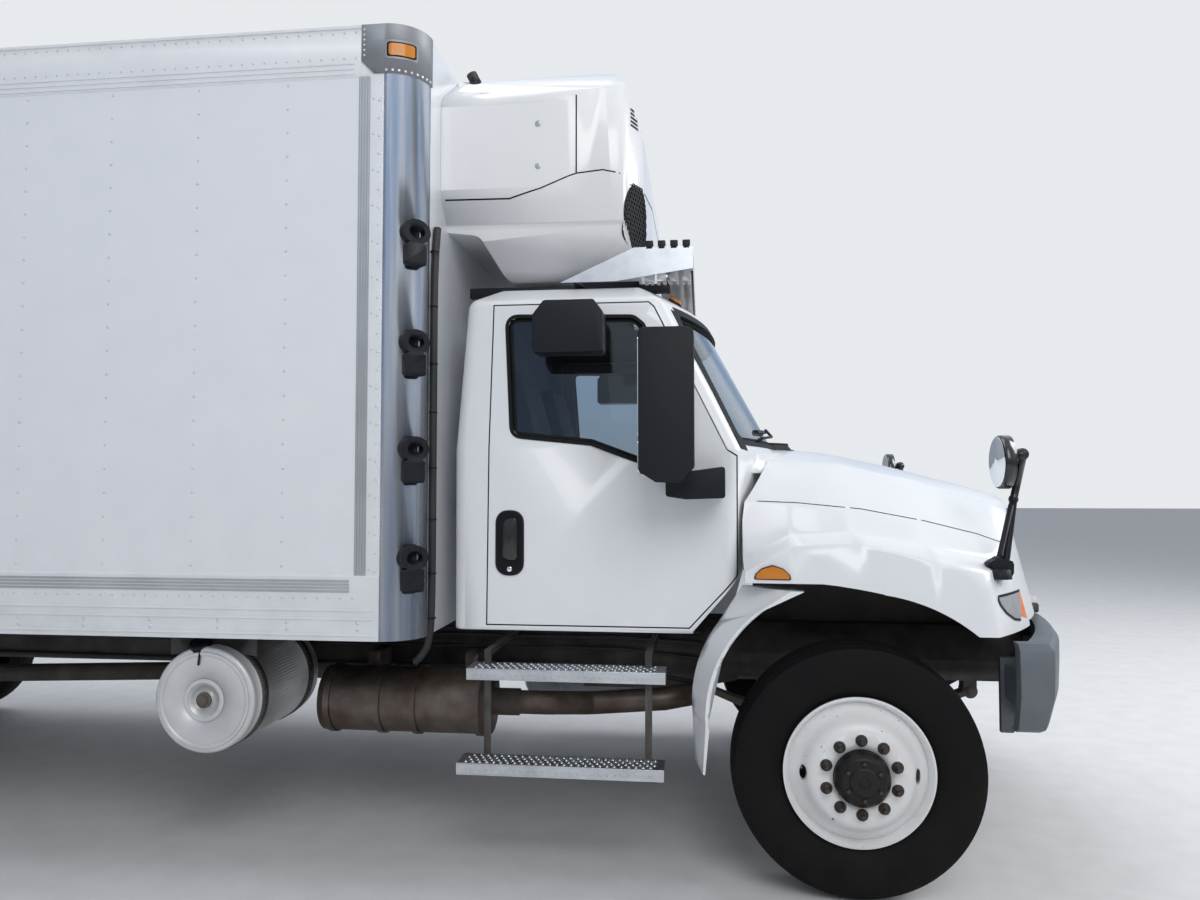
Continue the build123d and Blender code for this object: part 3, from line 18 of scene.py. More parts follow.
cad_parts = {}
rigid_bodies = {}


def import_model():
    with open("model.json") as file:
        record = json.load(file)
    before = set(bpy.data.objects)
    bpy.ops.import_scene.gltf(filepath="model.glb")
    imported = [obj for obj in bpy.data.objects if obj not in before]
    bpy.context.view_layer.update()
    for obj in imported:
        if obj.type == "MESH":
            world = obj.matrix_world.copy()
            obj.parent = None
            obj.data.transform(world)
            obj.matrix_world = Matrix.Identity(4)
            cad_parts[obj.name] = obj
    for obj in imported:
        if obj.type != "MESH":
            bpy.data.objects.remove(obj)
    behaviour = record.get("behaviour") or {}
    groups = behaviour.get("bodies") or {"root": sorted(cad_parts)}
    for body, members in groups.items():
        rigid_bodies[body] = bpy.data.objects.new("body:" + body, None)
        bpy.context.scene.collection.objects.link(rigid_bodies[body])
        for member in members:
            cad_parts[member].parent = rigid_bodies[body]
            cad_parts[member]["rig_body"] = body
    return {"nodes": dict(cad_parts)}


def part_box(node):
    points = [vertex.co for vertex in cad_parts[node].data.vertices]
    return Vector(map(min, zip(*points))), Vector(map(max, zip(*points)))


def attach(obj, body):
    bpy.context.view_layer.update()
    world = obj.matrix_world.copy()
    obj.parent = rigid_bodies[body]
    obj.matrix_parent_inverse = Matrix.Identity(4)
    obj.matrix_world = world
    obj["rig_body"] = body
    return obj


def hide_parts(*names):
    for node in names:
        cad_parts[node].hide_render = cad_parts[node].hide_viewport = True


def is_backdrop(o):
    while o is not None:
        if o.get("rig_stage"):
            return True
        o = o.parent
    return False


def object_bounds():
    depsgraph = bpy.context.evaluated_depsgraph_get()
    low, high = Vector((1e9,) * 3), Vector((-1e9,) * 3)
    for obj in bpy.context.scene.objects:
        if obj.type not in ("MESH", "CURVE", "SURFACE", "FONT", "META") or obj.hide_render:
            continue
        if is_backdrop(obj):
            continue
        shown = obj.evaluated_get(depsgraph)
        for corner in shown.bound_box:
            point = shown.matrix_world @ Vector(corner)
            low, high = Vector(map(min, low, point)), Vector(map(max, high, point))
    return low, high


Colour = tuple[float, float, float]
Point = tuple[float, float, float]
Flat = tuple[float, float]

log = logging.getLogger("truck")
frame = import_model()

axle_low, axle_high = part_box("front_wheel_right")
FRONT_AXLE = (axle_low.x + axle_high.x) / 2
AXLE_HEIGHT = (axle_low.z + axle_high.z) / 2
rear_low, rear_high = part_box("rear_wheels_right")
REAR_AXLE = (rear_low.x + rear_high.x) / 2
SIDES = {"right": -1, "left": 1}
# In a node's copy, corners closer than this distance are merged
MERGE_DISTANCE = 2e-5
# Where its edges are softened, faces closer than the first angle in degrees count as one,
# and edges sharper than the second are rounded
FLAT_ANGLE = 1.5
SHARP_ANGLE = 40.0
# The share of a side that one corner's rounding may take
CORNER_SHARE = 0.48


def st(station: float) -> float:
    """Returns the frame's X at a station from the front axle."""
    return FRONT_AXLE + station


# Shader nodes


class Shader:
    """One node tree, with short calls for the nodes that the finishes share."""

    def __init__(self, tree: bpy.types.NodeTree) -> None:
        """Takes a material's or a group's empty node tree."""
        self.tree = tree

    def node(self, kind: str, **settings: object) -> bpy.types.Node:
        """Adds a node.

        Args:
            kind: The node's type name without "ShaderNode".
            settings: Properties, and values for inputs named with underscores for spaces.

        Returns:
            The node.
        """
        made = self.tree.nodes.new("ShaderNode" + kind)
        for key, value in settings.items():
            if hasattr(made, key):
                setattr(made, key, value)
            else:
                made.inputs[key.replace("_", " ")].default_value = value
        return made

    def link(self, source: bpy.types.NodeSocket, target: bpy.types.NodeSocket) -> None:
        """Joins two sockets."""
        self.tree.links.new(source, target)

    def maths(self, operation: str, a: object, b: object = 0.0) -> bpy.types.NodeSocket:
        """Adds a Math node.

        Args:
            operation: What it does.
            a: Its first socket or number.
            b: Its second socket or number.

        Returns:
            Its result.
        """
        made = self.node("Math", operation=operation)
        for socket, value in zip(made.inputs, (a, b)):
            if isinstance(value, bpy.types.NodeSocket):
                self.link(value, socket)
            else:
                socket.default_value = value
        return made.outputs[0]

    def ramp(self, value: bpy.types.NodeSocket, low: float, high: float) -> bpy.types.NodeSocket:
        """Stretches a value.

        Args:
            value: The value.
            low: What becomes 0.
            high: What becomes 1.

        Returns:
            The stretched value.
        """
        made = self.node("MapRange", From_Min=low, From_Max=high)
        self.link(value, made.inputs["Value"])
        return made.outputs["Result"]

    def mix(self, share: bpy.types.NodeSocket, a: object, b: object) -> bpy.types.NodeSocket:
        """Mixes two colours.

        Args:
            share: The second one's share.
            a: The first colour or socket.
            b: The second colour or socket.

        Returns:
            The mixed colour.
        """
        made = self.node("Mix", data_type="RGBA")
        self.link(share, made.inputs["Factor"])
        for socket, value in ((made.inputs[6], a), (made.inputs[7], b)):
            if isinstance(value, bpy.types.NodeSocket):
                self.link(value, socket)
            else:
                socket.default_value = (*value, 1)
        return made.outputs[2]

    def noise(self, vector: bpy.types.NodeSocket, scale: float, detail: float = 4) -> bpy.types.NodeSocket:
        """Adds fractal noise.

        Args:
            vector: The place that it is read at.
            scale: Its spots in a metre.
            detail: Its octaves.

        Returns:
            The noise.
        """
        made = self.node("TexNoise", Scale=scale, Detail=detail)
        self.link(vector, made.inputs["Vector"])
        return made.outputs["Fac"]


def effect_group(name: str, inputs: Sequence[tuple[str, float]],
                 build: Callable[[Shader, bpy.types.Node, bpy.types.Node], None]) -> bpy.types.NodeTree:
    """Builds a shader node group once.

    Args:
        name: The group's name.
        inputs: Its float inputs with their defaults.
        build: Fills the group between its input and output nodes.

    Returns:
        The group, which puts out one mask.
    """
    tree = bpy.data.node_groups.new(name, "ShaderNodeTree")
    tree.interface.new_socket("Place", in_out="INPUT", socket_type="NodeSocketVector")
    for label, value in inputs:
        tree.interface.new_socket(label, in_out="INPUT", socket_type="NodeSocketFloat").default_value = value
    tree.interface.new_socket("Mask", in_out="OUTPUT", socket_type="NodeSocketFloat")
    start, end = tree.nodes.new("NodeGroupInput"), tree.nodes.new("NodeGroupOutput")
    build(Shader(tree), start, end)
    return tree


def road_dust(shader: Shader, start: bpy.types.Node, end: bpy.types.Node) -> None:
    """Dust that thins out with height and lies in soft patches.

    Args:
        shader: The group's tree.
        start: Its input node.
        end: Its output node.
    """
    split = shader.node("SeparateXYZ")
    shader.link(start.outputs["Place"], split.inputs[0])
    height = shader.maths("DIVIDE", split.outputs["Z"], start.outputs["Top"])
    low = shader.maths("SUBTRACT", 1.0, height)
    patches = shader.noise(start.outputs["Place"], scale=9.0, detail=6)
    mask = shader.maths("MULTIPLY", shader.ramp(low, 0.0, 1.0), shader.ramp(patches, 0.3, 0.75))
    shader.link(shader.maths("MULTIPLY", mask, start.outputs["Amount"]), end.inputs["Mask"])


def chipping(shader: Shader, start: bpy.types.Node, end: bpy.types.Node) -> None:
    """Small worn spots, gathered in a few places.

    Args:
        shader: The group's tree.
        start: Its input node.
        end: Its output node.
    """
    spots = shader.node("TexNoise", Detail=8.0, Roughness=0.7)
    shader.link(start.outputs["Place"], spots.inputs["Vector"])
    shader.link(start.outputs["Scale"], spots.inputs["Scale"])
    wide = shader.noise(start.outputs["Place"], scale=5.0, detail=2)
    both = shader.maths("MULTIPLY", spots.outputs["Fac"], shader.ramp(wide, 0.25, 0.6))
    level = shader.maths("SUBTRACT", 1.0, start.outputs["Amount"])
    mask = shader.maths("GREATER_THAN", both, level)
    shader.link(mask, end.inputs["Mask"])


def fine_grain(shader: Shader, start: bpy.types.Node, end: bpy.types.Node) -> None:
    """Even fine grain, stretched along X by the input called Stretch.

    Args:
        shader: The group's tree.
        start: Its input node.
        end: Its output node.
    """
    stretch = shader.node("CombineXYZ", Y=1.0, Z=1.0)
    shader.link(start.outputs["Stretch"], stretch.inputs["X"])
    scaled = shader.node("VectorMath", operation="MULTIPLY")
    shader.link(start.outputs["Place"], scaled.inputs[0])
    shader.link(stretch.outputs[0], scaled.inputs[1])
    grain = shader.node("TexNoise", Detail=5.0)
    shader.link(scaled.outputs[0], grain.inputs["Vector"])
    shader.link(start.outputs["Scale"], grain.inputs["Scale"])
    shader.link(grain.outputs["Fac"], end.inputs["Mask"])


GROUPS = {
    "dust": effect_group("Road dust", (("Top", 1.2), ("Amount", 0.4)), road_dust),
    "chips": effect_group("Chips", (("Scale", 60.0), ("Amount", 0.4)), chipping),
    "grain": effect_group("Fine grain", (("Scale", 300.0), ("Stretch", 1.0)), fine_grain),
}


@dataclass(frozen=True)
class Finish:
    """A rigid surface: its paint or metal, its grain, and the dust and chips on it."""

    name: str
    colour: Colour
    roughness: float = 0.4
    metallic: float = 0.0
    coat: float = 0.0
    specular: float = 0.5
    grain_scale: float = 200.0
    grain_depth: float = 0.0
    stretch: float = 1.0
    wave_depth: float = 0.0
    wave_scale: float = 1.2
    # Colour of the uneven patches: a random tone on most finishes; squashed into upright streaks on the
    # polished posts, a painted reflection
    tint: Colour | None = None
    tint_scale: float = 6.0
    tint_squash: float = 1.0
    dust: float = 0.0
    dust_top: float = 1.2
    dust_colour: Colour = (0.30, 0.27, 0.23)
    chips: float = 0.0
    chip_scale: float = 60.0
    chip_colour: Colour = (0.16, 0.09, 0.05)

    COAT_ROUGHNESS = 0.04
    # How much rougher the grain and the dust make a surface
    GRAIN_ROUGHNESS = 0.08
    DUST_ROUGHNESS = 0.4
    # The patches' shade where a finish has no tint
    SHADE = 0.93

    def group(self, shader: Shader, key: str, place: bpy.types.NodeSocket,
              **values: float) -> bpy.types.NodeSocket:
        """Places one of the shared effects.

        Args:
            shader: The material's tree.
            key: The effect.
            place: The object's coordinates.
            values: The effect's own inputs.

        Returns:
            Its mask.
        """
        made = shader.tree.nodes.new("ShaderNodeGroup")
        made.node_tree = GROUPS[key]
        shader.link(place, made.inputs["Place"])
        for label, value in values.items():
            made.inputs[label].default_value = value
        return made.outputs["Mask"]

    def material(self) -> bpy.types.Material:
        """Makes the finish a material, once.

        Returns:
            The material.
        """
        if self.name in bpy.data.materials:
            return bpy.data.materials[self.name]
        made = bpy.data.materials.new(self.name)
        made.use_nodes = True
        shader = Shader(made.node_tree)
        body = made.node_tree.nodes["Principled BSDF"]
        place = shader.node("TexCoord").outputs["Object"]
        body.inputs["Metallic"].default_value = self.metallic
        body.inputs["Coat Weight"].default_value = self.coat
        body.inputs["Coat Roughness"].default_value = self.COAT_ROUGHNESS
        body.inputs["Specular IOR Level"].default_value = self.specular
        grain = self.group(shader, "grain", place, Scale=self.grain_scale, Stretch=self.stretch)
        # Uneven patches of the tint; on the polished posts, squashed into streaks, they are a painted
        # reflection
        squashed = shader.node("VectorMath", operation="MULTIPLY")
        shader.link(place, squashed.inputs[0])
        squashed.inputs[1].default_value = (1.0, 1.0, self.tint_squash)
        wide = shader.noise(squashed.outputs[0], self.tint_scale, detail=5)
        tint = self.tint or tuple(value * self.SHADE for value in self.colour)
        colour = shader.mix(shader.ramp(wide, 0.35, 0.7), self.colour, tint)
        rough = shader.maths("ADD", self.roughness - self.GRAIN_ROUGHNESS / 2,
                             shader.maths("MULTIPLY", grain, self.GRAIN_ROUGHNESS))
        if self.chips:
            mask = self.group(shader, "chips", place, Scale=self.chip_scale, Amount=self.chips)
            colour = shader.mix(mask, colour, self.chip_colour)
        if self.dust:
            mask = self.group(shader, "dust", place, Top=self.dust_top, Amount=self.dust)
            colour = shader.mix(mask, colour, self.dust_colour)
            rough = shader.maths("ADD", rough, shader.maths("MULTIPLY", mask, self.DUST_ROUGHNESS))
        shader.link(colour, body.inputs["Base Color"])
        shader.link(rough, body.inputs["Roughness"])
        if self.grain_depth or self.wave_depth:
            wave = shader.noise(place, self.wave_scale, detail=2)
            height = shader.maths("ADD", shader.maths("MULTIPLY", grain, self.grain_depth),
                                  shader.maths("MULTIPLY", wave, self.wave_depth))
            bump = shader.node("Bump", Strength=1.0, Distance=1.0)
            shader.link(height, bump.inputs["Height"])
            shader.link(bump.outputs[0], body.inputs["Normal"])
        return made


@dataclass(frozen=True)
class ClearFinish:
    """Glass and lamp lenses."""

    name: str
    colour: Colour
    roughness: float = 0.02
    transmission: float = 1.0
    ior: float = 1.45

    # How much rougher and darker the smears are
    SMEAR_ROUGHNESS = 0.03
    SMEAR_SHADE = 0.9

    def material(self) -> bpy.types.Material:
        """Makes the finish a material, once.

        Returns:
            The material.
        """
        if self.name in bpy.data.materials:
            return bpy.data.materials[self.name]
        made = bpy.data.materials.new(self.name)
        made.use_nodes = True
        shader = Shader(made.node_tree)
        body = made.node_tree.nodes["Principled BSDF"]
        place = shader.node("TexCoord").outputs["Object"]
        body.inputs["Transmission Weight"].default_value = self.transmission
        body.inputs["IOR"].default_value = self.ior
        smears = shader.noise(place, scale=7.0, detail=6)
        shade = tuple(value * self.SMEAR_SHADE for value in self.colour)
        shader.link(shader.mix(smears, self.colour, shade), body.inputs["Base Color"])
        uneven = shader.maths("MULTIPLY", shader.ramp(smears, 0.4, 0.8), self.SMEAR_ROUGHNESS)
        shader.link(shader.maths("ADD", self.roughness, uneven), body.inputs["Roughness"])
        return made


class Surface(Enum):
    """The finishes that pieces are dressed in, by the part of the truck that wears them."""

    CAB_PAINT = Finish("CabPaint", (0.78, 0.80, 0.83), roughness=0.30, coat=0.3, grain_scale=900,
                       grain_depth=0.00002, tint=(0.76, 0.785, 0.82), dust=0.35, dust_top=1.3)
    PANEL_WHITE = Finish("PanelWhite", (0.77, 0.79, 0.83), roughness=0.24, coat=0.3, grain_scale=700,
                         grain_depth=0.00002, wave_depth=0.004, wave_scale=1.6, tint=(0.745, 0.77, 0.815),
                         dust=0.25, dust_top=1.8)
    RAIL_WHITE = Finish("RailWhite", (0.74, 0.765, 0.80), roughness=0.33, grain_scale=500,
                        grain_depth=0.00004, tint=(0.70, 0.72, 0.755), dust=0.5, dust_top=1.6, chips=0.30,
                        chip_scale=80)
    UNIT_WHITE = Finish("UnitWhite", (0.80, 0.81, 0.825), roughness=0.28, coat=0.35, grain_scale=800,
                        grain_depth=0.00003, tint=(0.775, 0.785, 0.80), tint_scale=3)
    # The posts' blue tint, squashed into upright streaks, is a painted reflection of the sky
    POLISHED = Finish("PolishedPost", (0.80, 0.83, 0.87), roughness=0.22, metallic=0.72, grain_scale=260,
                      stretch=0.05, grain_depth=0.000008, wave_depth=0.0001, wave_scale=1.2,
                      tint=(0.36, 0.47, 0.66), tint_scale=26, tint_squash=0.03)
    CHROME = Finish("Chrome", (0.78, 0.79, 0.80), roughness=0.07, metallic=1.0, grain_scale=500,
                    grain_depth=0.000005)
    CAST_CAP = Finish("CastCap", (0.27, 0.28, 0.30), roughness=0.5, metallic=0.5, grain_scale=420,
                      grain_depth=0.0002)
    CHASSIS_BLACK = Finish("ChassisBlack", (0.022, 0.022, 0.024), roughness=0.5, grain_scale=220,
                           grain_depth=0.00015, tint=(0.035, 0.032, 0.03), dust=0.55, dust_top=1.5,
                           chips=0.32)
    CAST_IRON = Finish("CastIron", (0.05, 0.048, 0.047), roughness=0.62, grain_scale=330,
                       grain_depth=0.0004, tint=(0.085, 0.07, 0.055), dust=0.6, dust_top=1.3)
    TYRE = Finish("TyreRubber", (0.0052, 0.0052, 0.0056), roughness=0.74, grain_scale=600,
                  grain_depth=0.0001, specular=0.14, tint=(0.0075, 0.007, 0.007), dust=0.02, dust_top=0.6)
    WHEEL_PAINT = Finish("WheelPaint", (0.74, 0.75, 0.76), roughness=0.38, coat=0.15, grain_scale=500,
                         grain_depth=0.00005, tint=(0.70, 0.70, 0.70), dust=0.16, dust_top=0.7,
                         chips=0.355, chip_scale=45, chip_colour=(0.13, 0.08, 0.05))
    NUT_STEEL = Finish("NutSteel", (0.055, 0.05, 0.048), roughness=0.5, metallic=0.7, grain_scale=500,
                       grain_depth=0.0001, tint=(0.075, 0.055, 0.04))
    HUB_BLACK = Finish("HubBlack", (0.006, 0.006, 0.0065), roughness=0.42, grain_scale=350,
                       grain_depth=0.0001, specular=0.25, tint=(0.016, 0.014, 0.012))
    MOULDED = Finish("MouldedBlack", (0.0065, 0.0085, 0.0125), roughness=0.5, grain_scale=650,
                     grain_depth=0.00008, specular=0.25, tint=(0.009, 0.0105, 0.0145))
    GLOSS_BLACK = Finish("GlossBlack", (0.012, 0.012, 0.014), roughness=0.18, coat=0.4, grain_scale=400)
    BUMPER = Finish("BumperGrey", (0.115, 0.13, 0.15), roughness=0.5, grain_scale=520, grain_depth=0.00012,
                    tint=(0.095, 0.11, 0.13), dust=0.4, dust_top=1.1)
    ALUMINIUM = Finish("MillAluminium", (0.62, 0.635, 0.65), roughness=0.36, metallic=1.0, grain_scale=330,
                       stretch=0.06, grain_depth=0.00005, tint=(0.52, 0.53, 0.545), tint_scale=14)
    TRIM_GREY = Finish("TrimGrey", (0.46, 0.475, 0.49), roughness=0.42, metallic=0.6, grain_scale=360,
                       grain_depth=0.00004, tint=(0.40, 0.41, 0.425))
    TANK_WHITE = Finish("TankWhite", (0.66, 0.67, 0.68), roughness=0.36, metallic=0.25, grain_scale=320,
                        grain_depth=0.00006, tint=(0.58, 0.585, 0.59), dust=0.5, dust_top=1.1)
    EXHAUST = Finish("HeatedSteel", (0.17, 0.14, 0.12), roughness=0.46, metallic=0.85, grain_scale=260,
                     grain_depth=0.0001, tint=(0.07, 0.04, 0.026), tint_scale=9, dust=0.3)
    RUBBER = Finish("HoseRubber", (0.018, 0.018, 0.02), roughness=0.55, grain_scale=500,
                    grain_depth=0.0001)
    FABRIC = Finish("CabCloth", (0.06, 0.065, 0.075), roughness=0.9, specular=0.2, grain_scale=300,
                    grain_depth=0.00003, tint=(0.045, 0.048, 0.055))
    DASH = Finish("DashPlastic", (0.10, 0.105, 0.115), roughness=0.6, grain_scale=700, grain_depth=0.0001,
                  tint=(0.085, 0.09, 0.10))
    TRIM_INSIDE = Finish("InsideTrim", (0.085, 0.09, 0.10), roughness=0.75, grain_scale=300,
                         grain_depth=0.00003, tint=(0.07, 0.075, 0.085))
    HOOD_INSIDE = Finish("HoodInside", (0.05, 0.05, 0.052), roughness=0.7, grain_scale=400,
                         grain_depth=0.0001, tint=(0.035, 0.035, 0.036), dust=0.3)
    LINER = Finish("FenderLiner", (0.30, 0.31, 0.325), roughness=0.65, grain_scale=400, grain_depth=0.0001,
                   tint=(0.25, 0.26, 0.27), dust=0.5)
    PLATE_BLUE = Finish("BumperPlate", (0.045, 0.065, 0.085), roughness=0.5, grain_scale=400,
                        grain_depth=0.0001, tint=(0.04, 0.055, 0.075), dust=0.3)
    LAMP_FACE = Finish("LampFace", (0.62, 0.64, 0.66), roughness=0.10, metallic=0.55, coat=1.0,
                       grain_scale=150, grain_depth=0.00001, tint=(0.50, 0.52, 0.54), tint_scale=18)
    SEAL = Finish("SealBlack", (0.006, 0.006, 0.007), roughness=0.55, specular=0.18, grain_scale=500,
                  grain_depth=0.00005)
    RIVET = Finish("RivetWhite", (0.66, 0.68, 0.71), roughness=0.3, metallic=0.15, grain_scale=500)
    MIRROR = Finish("MirrorGlass", (0.72, 0.75, 0.78), roughness=0.015, metallic=1.0, grain_scale=200)
    AMBER = ClearFinish("AmberLens", (0.95, 0.33, 0.03), roughness=0.12, transmission=0.35)
    AMBER_FACE = Finish("AmberReflector", (0.75, 0.16, 0.03), roughness=0.35, grain_scale=90,
                        grain_depth=0.0006, tint=(0.85, 0.30, 0.08), tint_scale=40)
    RED = ClearFinish("RedLens", (0.62, 0.02, 0.02), roughness=0.12, transmission=0.3)
    WINDOW = ClearFinish("TintedGlass", (0.78, 0.86, 0.90), roughness=0.0, transmission=1.0)

    def material(self) -> bpy.types.Material:
        """Returns this finish's material."""
        return self.value.material()


# Meshes


class Form:
    """A mesh under construction, in the truck's frame."""

    # The cosine from which a tube counts as running along its up direction
    NEARLY_ALONG = 0.95

    def __init__(self) -> None:
        """Starts an empty mesh."""
        self.mesh = bmesh.new()

    def add_block(self, low: Point, high: Point, bevel: float = 0.0) -> "Form":
        """Adds a block with softened edges.

        Args:
            low: One corner.
            high: The opposite corner.
            bevel: Width of the softened edges.

        Returns:
            The form.
        """
        centre = [(a + b) / 2 for a, b in zip(low, high)]
        size = [abs(b - a) for a, b in zip(low, high)]
        placed = Matrix.Translation(centre) @ Matrix.Diagonal((*size, 1))
        made = bmesh.ops.create_cube(self.mesh, size=1.0, matrix=placed)["verts"]
        if bevel:
            edges = list({edge for vert in made for edge in vert.link_edges})
            bmesh.ops.bevel(self.mesh, geom=edges, offset=bevel, segments=2, affect="EDGES", profile=0.6)
        return self

    def add_tube(self, points: Sequence[Point], radius: float, sides: int) -> "Form":
        """Adds a round tube along points.

        Args:
            points: The tube's middle line.
            radius: Its radius.
            sides: Corners of its section.

        Returns:
            The form.
        """
        line = [Vector(p) for p in points]
        turns = [2 * math.pi * n / sides for n in range(sides)]
        rings = []
        up = Vector((0, 0, 1))
        for k, middle in enumerate(line):
            along = (line[min(k + 1, len(line) - 1)] - line[max(k - 1, 0)]).normalized()
            if abs(along.dot(up)) > self.NEARLY_ALONG:
                up = Vector((1, 0, 0)) if abs(along.x) < 0.9 else Vector((0, 1, 0))
            across = along.cross(up).normalized()
            up = across.cross(along).normalized()
            rings.append([self.mesh.verts.new(middle + radius * (math.cos(a) * across + math.sin(a) * up))
                          for a in turns])
        for first, second in zip(rings, rings[1:]):
            for n in range(sides):
                m = (n + 1) % sides
                self.mesh.faces.new((first[n], first[m], second[m], second[n]))
        self.mesh.faces.new(list(reversed(rings[0])))
        self.mesh.faces.new(rings[-1])
        return self

    def add_lathe(self, centre: Point, axis: Point, profile: Sequence[Flat], steps: int = 64) -> "Form":
        """Adds a turned shape.

        Args:
            centre: A point on the axis.
            axis: The axis's direction.
            profile: Points as (distance along the axis, radius), open or ending on the axis.
            steps: Segments round the axis.

        Returns:
            The form.
        """
        direction = Vector(axis).normalized()
        side = direction.orthogonal().normalized()
        other = direction.cross(side)
        middle = Vector(centre)
        rings = []
        for along, radius in profile:
            if radius < 1e-6:
                rings.append([self.mesh.verts.new(middle + direction * along)])
                continue
            rings.append([self.mesh.verts.new(middle + direction * along + radius
                                              * (math.cos(a) * side + math.sin(a) * other))
                          for a in (2 * math.pi * n / steps for n in range(steps))])
        for first, second in zip(rings, rings[1:]):
            for n in range(steps):
                m = (n + 1) % steps
                corners = [first[n % len(first)], first[m % len(first)], second[m % len(second)],
                           second[n % len(second)]]
                unique = list(dict.fromkeys(corners))
                if len(unique) > 2:
                    self.mesh.faces.new(unique)
        return self

    def add_prism(self, outline: Sequence[Flat], place: Callable[[float, float, float], Point], near: float,
                  far: float, bevel: float = 0.0) -> "Form":
        """Adds a prism.

        Args:
            outline: Its outline's points (u, v).
            place: Turns (u, v, w) into a point of the frame.
            near: The first end's w.
            far: The other end's w.
            bevel: Width of the softened edges.

        Returns:
            The form.
        """
        ends = [[self.mesh.verts.new(place(u, v, w)) for u, v in outline] for w in (near, far)]
        faces = [self.mesh.faces.new(ends[0]), self.mesh.faces.new(list(reversed(ends[1])))]
        count = len(outline)
        for n in range(count):
            m = (n + 1) % count
            faces.append(self.mesh.faces.new((ends[0][m], ends[0][n], ends[1][n], ends[1][m])))
        if bevel:
            edges = list({edge for face in faces for edge in face.edges})
            bmesh.ops.bevel(self.mesh, geom=edges, offset=bevel, segments=2, affect="EDGES", profile=0.6)
        return self

    def absorb(self, other: "Form") -> "Form":
        """Adds another form's faces to this one.

        Args:
            other: The other form.

        Returns:
            The form.
        """
        spare = bpy.data.meshes.new("spare")
        other.mesh.to_mesh(spare)
        self.mesh.from_mesh(spare)
        bpy.data.meshes.remove(spare)
        return self

    def piece(self, name: str, surface: Surface, body: str = "chassis", slot: str | None = None,
              replaces: Iterable[str] = (), angle: float = 35.0) -> bpy.types.Object:
        """Finishes the form as a piece of the truck.

        Args:
            name: The piece's name.
            surface: Its finish.
            body: The CAD body that it rides on.
            slot: The record's material slot; not used.
            replaces: CAD nodes that it stands for.
            angle: Edges sharper than this many degrees stay crisp.

        Returns:
            The piece.
        """
        bmesh.ops.recalc_face_normals(self.mesh, faces=self.mesh.faces)
        mesh = bpy.data.meshes.new(name)
        self.mesh.to_mesh(mesh)
        self.mesh.free()
        return settle(name, mesh, surface, body, slot, replaces, angle)


def settle(name: str, mesh: bpy.types.Mesh, surface: Surface, body: str, slot: str | None,
           replaces: Iterable[str], angle: float) -> bpy.types.Object:
    """Puts a finished mesh on its body.

    Args:
        name: The piece's name.
        mesh: Its mesh, in the truck's frame.
        surface: Its finish.
        body: The CAD body that it rides on.
        slot: The record's material slot, if any; not used.
        replaces: CAD nodes that it stands for.
        angle: Edges sharper than this many degrees stay crisp.

    Returns:
        The piece.
    """
    mesh.materials.clear()
    mesh.materials.append(surface.material())
    mesh.shade_smooth()
    mesh.set_sharp_from_angle(angle=math.radians(angle))
    made = bpy.data.objects.new(name, mesh)
    bpy.context.scene.collection.objects.link(made)
    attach(made, body)
    if replaces:
        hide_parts(*replaces)
    log.info("%s: %d faces on %s", name, len(mesh.polygons), body)
    return made


def body_of_node(node: str) -> str:
    """Returns the name of the body that a CAD node rides on."""
    return frame["nodes"][node]["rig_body"]


@dataclass(frozen=True)
class Zone:
    """A finish, and the test of the faces that wear it by their middle and normal."""

    surface: Surface
    test: Callable[[Vector, Vector], bool]


def dressed(node: str, surface: Surface, slot: str, zones: Sequence[Zone] = (), angle: float = 32.0,
            soften: float = 0.0, keep: Callable[[Vector], bool] | None = None) -> None:
    """Puts a merged, smoothly shaded copy of a CAD node in its place.

    Args:
        node: The CAD node.
        surface: The finish of the faces that no zone takes.
        slot: The record's material slot; not used.
        zones: Other finishes; a face wears the first whose test fits.
        angle: Edges sharper than this many degrees stay crisp.
        soften: Width of the copy's softened edges.
        keep: Tells by its middle whether a face is kept; all are without it.
    """
    form = Form()
    form.mesh.from_mesh(frame["nodes"][node].data)
    bmesh.ops.remove_doubles(form.mesh, verts=form.mesh.verts, dist=MERGE_DISTANCE)
    if keep:
        spare = [face for face in form.mesh.faces if not keep(face.calc_center_median())]
        bmesh.ops.delete(form.mesh, geom=spare, context="FACES")
    if soften:
        bmesh.ops.dissolve_limit(form.mesh, angle_limit=math.radians(FLAT_ANGLE), verts=form.mesh.verts,
                                 edges=form.mesh.edges)
        sharp = [edge for edge in form.mesh.edges
                 if edge.is_manifold and edge.calc_face_angle() > math.radians(SHARP_ANGLE)]
        bmesh.ops.bevel(form.mesh, geom=sharp, offset=soften, segments=3, affect="EDGES", profile=0.5,
                        clamp_overlap=True)
    for face in form.mesh.faces:
        centre, normal = face.calc_center_median(), face.normal
        face.material_index = next((n for n, zone in enumerate(zones, 1) if zone.test(centre, normal)), 0)
    mesh = bpy.data.meshes.new(node + "_skin")
    form.mesh.to_mesh(mesh)
    form.mesh.free()
    indices = [polygon.material_index for polygon in mesh.polygons]
    settle(node + "_skin", mesh, surface, body_of_node(node), slot, (node,), angle)
    for zone in zones:
        mesh.materials.append(zone.surface.material())
    for polygon, index in zip(mesh.polygons, indices):
        polygon.material_index = index


def turned(axis: Point, profile: Sequence[Flat], steps: int) -> Form:
    """Returns a turned form round the origin, from its profile as (distance along the axis, radius)."""
    return Form().add_lathe((0, 0, 0), axis, profile, steps)


def on_side(side: int) -> Callable[[float, float, float], Point]:
    """Picks the side that a prism stands on.

    Args:
        side: -1 for the right and 1 for the left.

    Returns:
        What places the prism's (station, height, |Y|).
    """
    def place(station: float, height: float, out: float) -> Point:
        """Returns a point of the frame."""
        return st(station), side * out, height

    return place


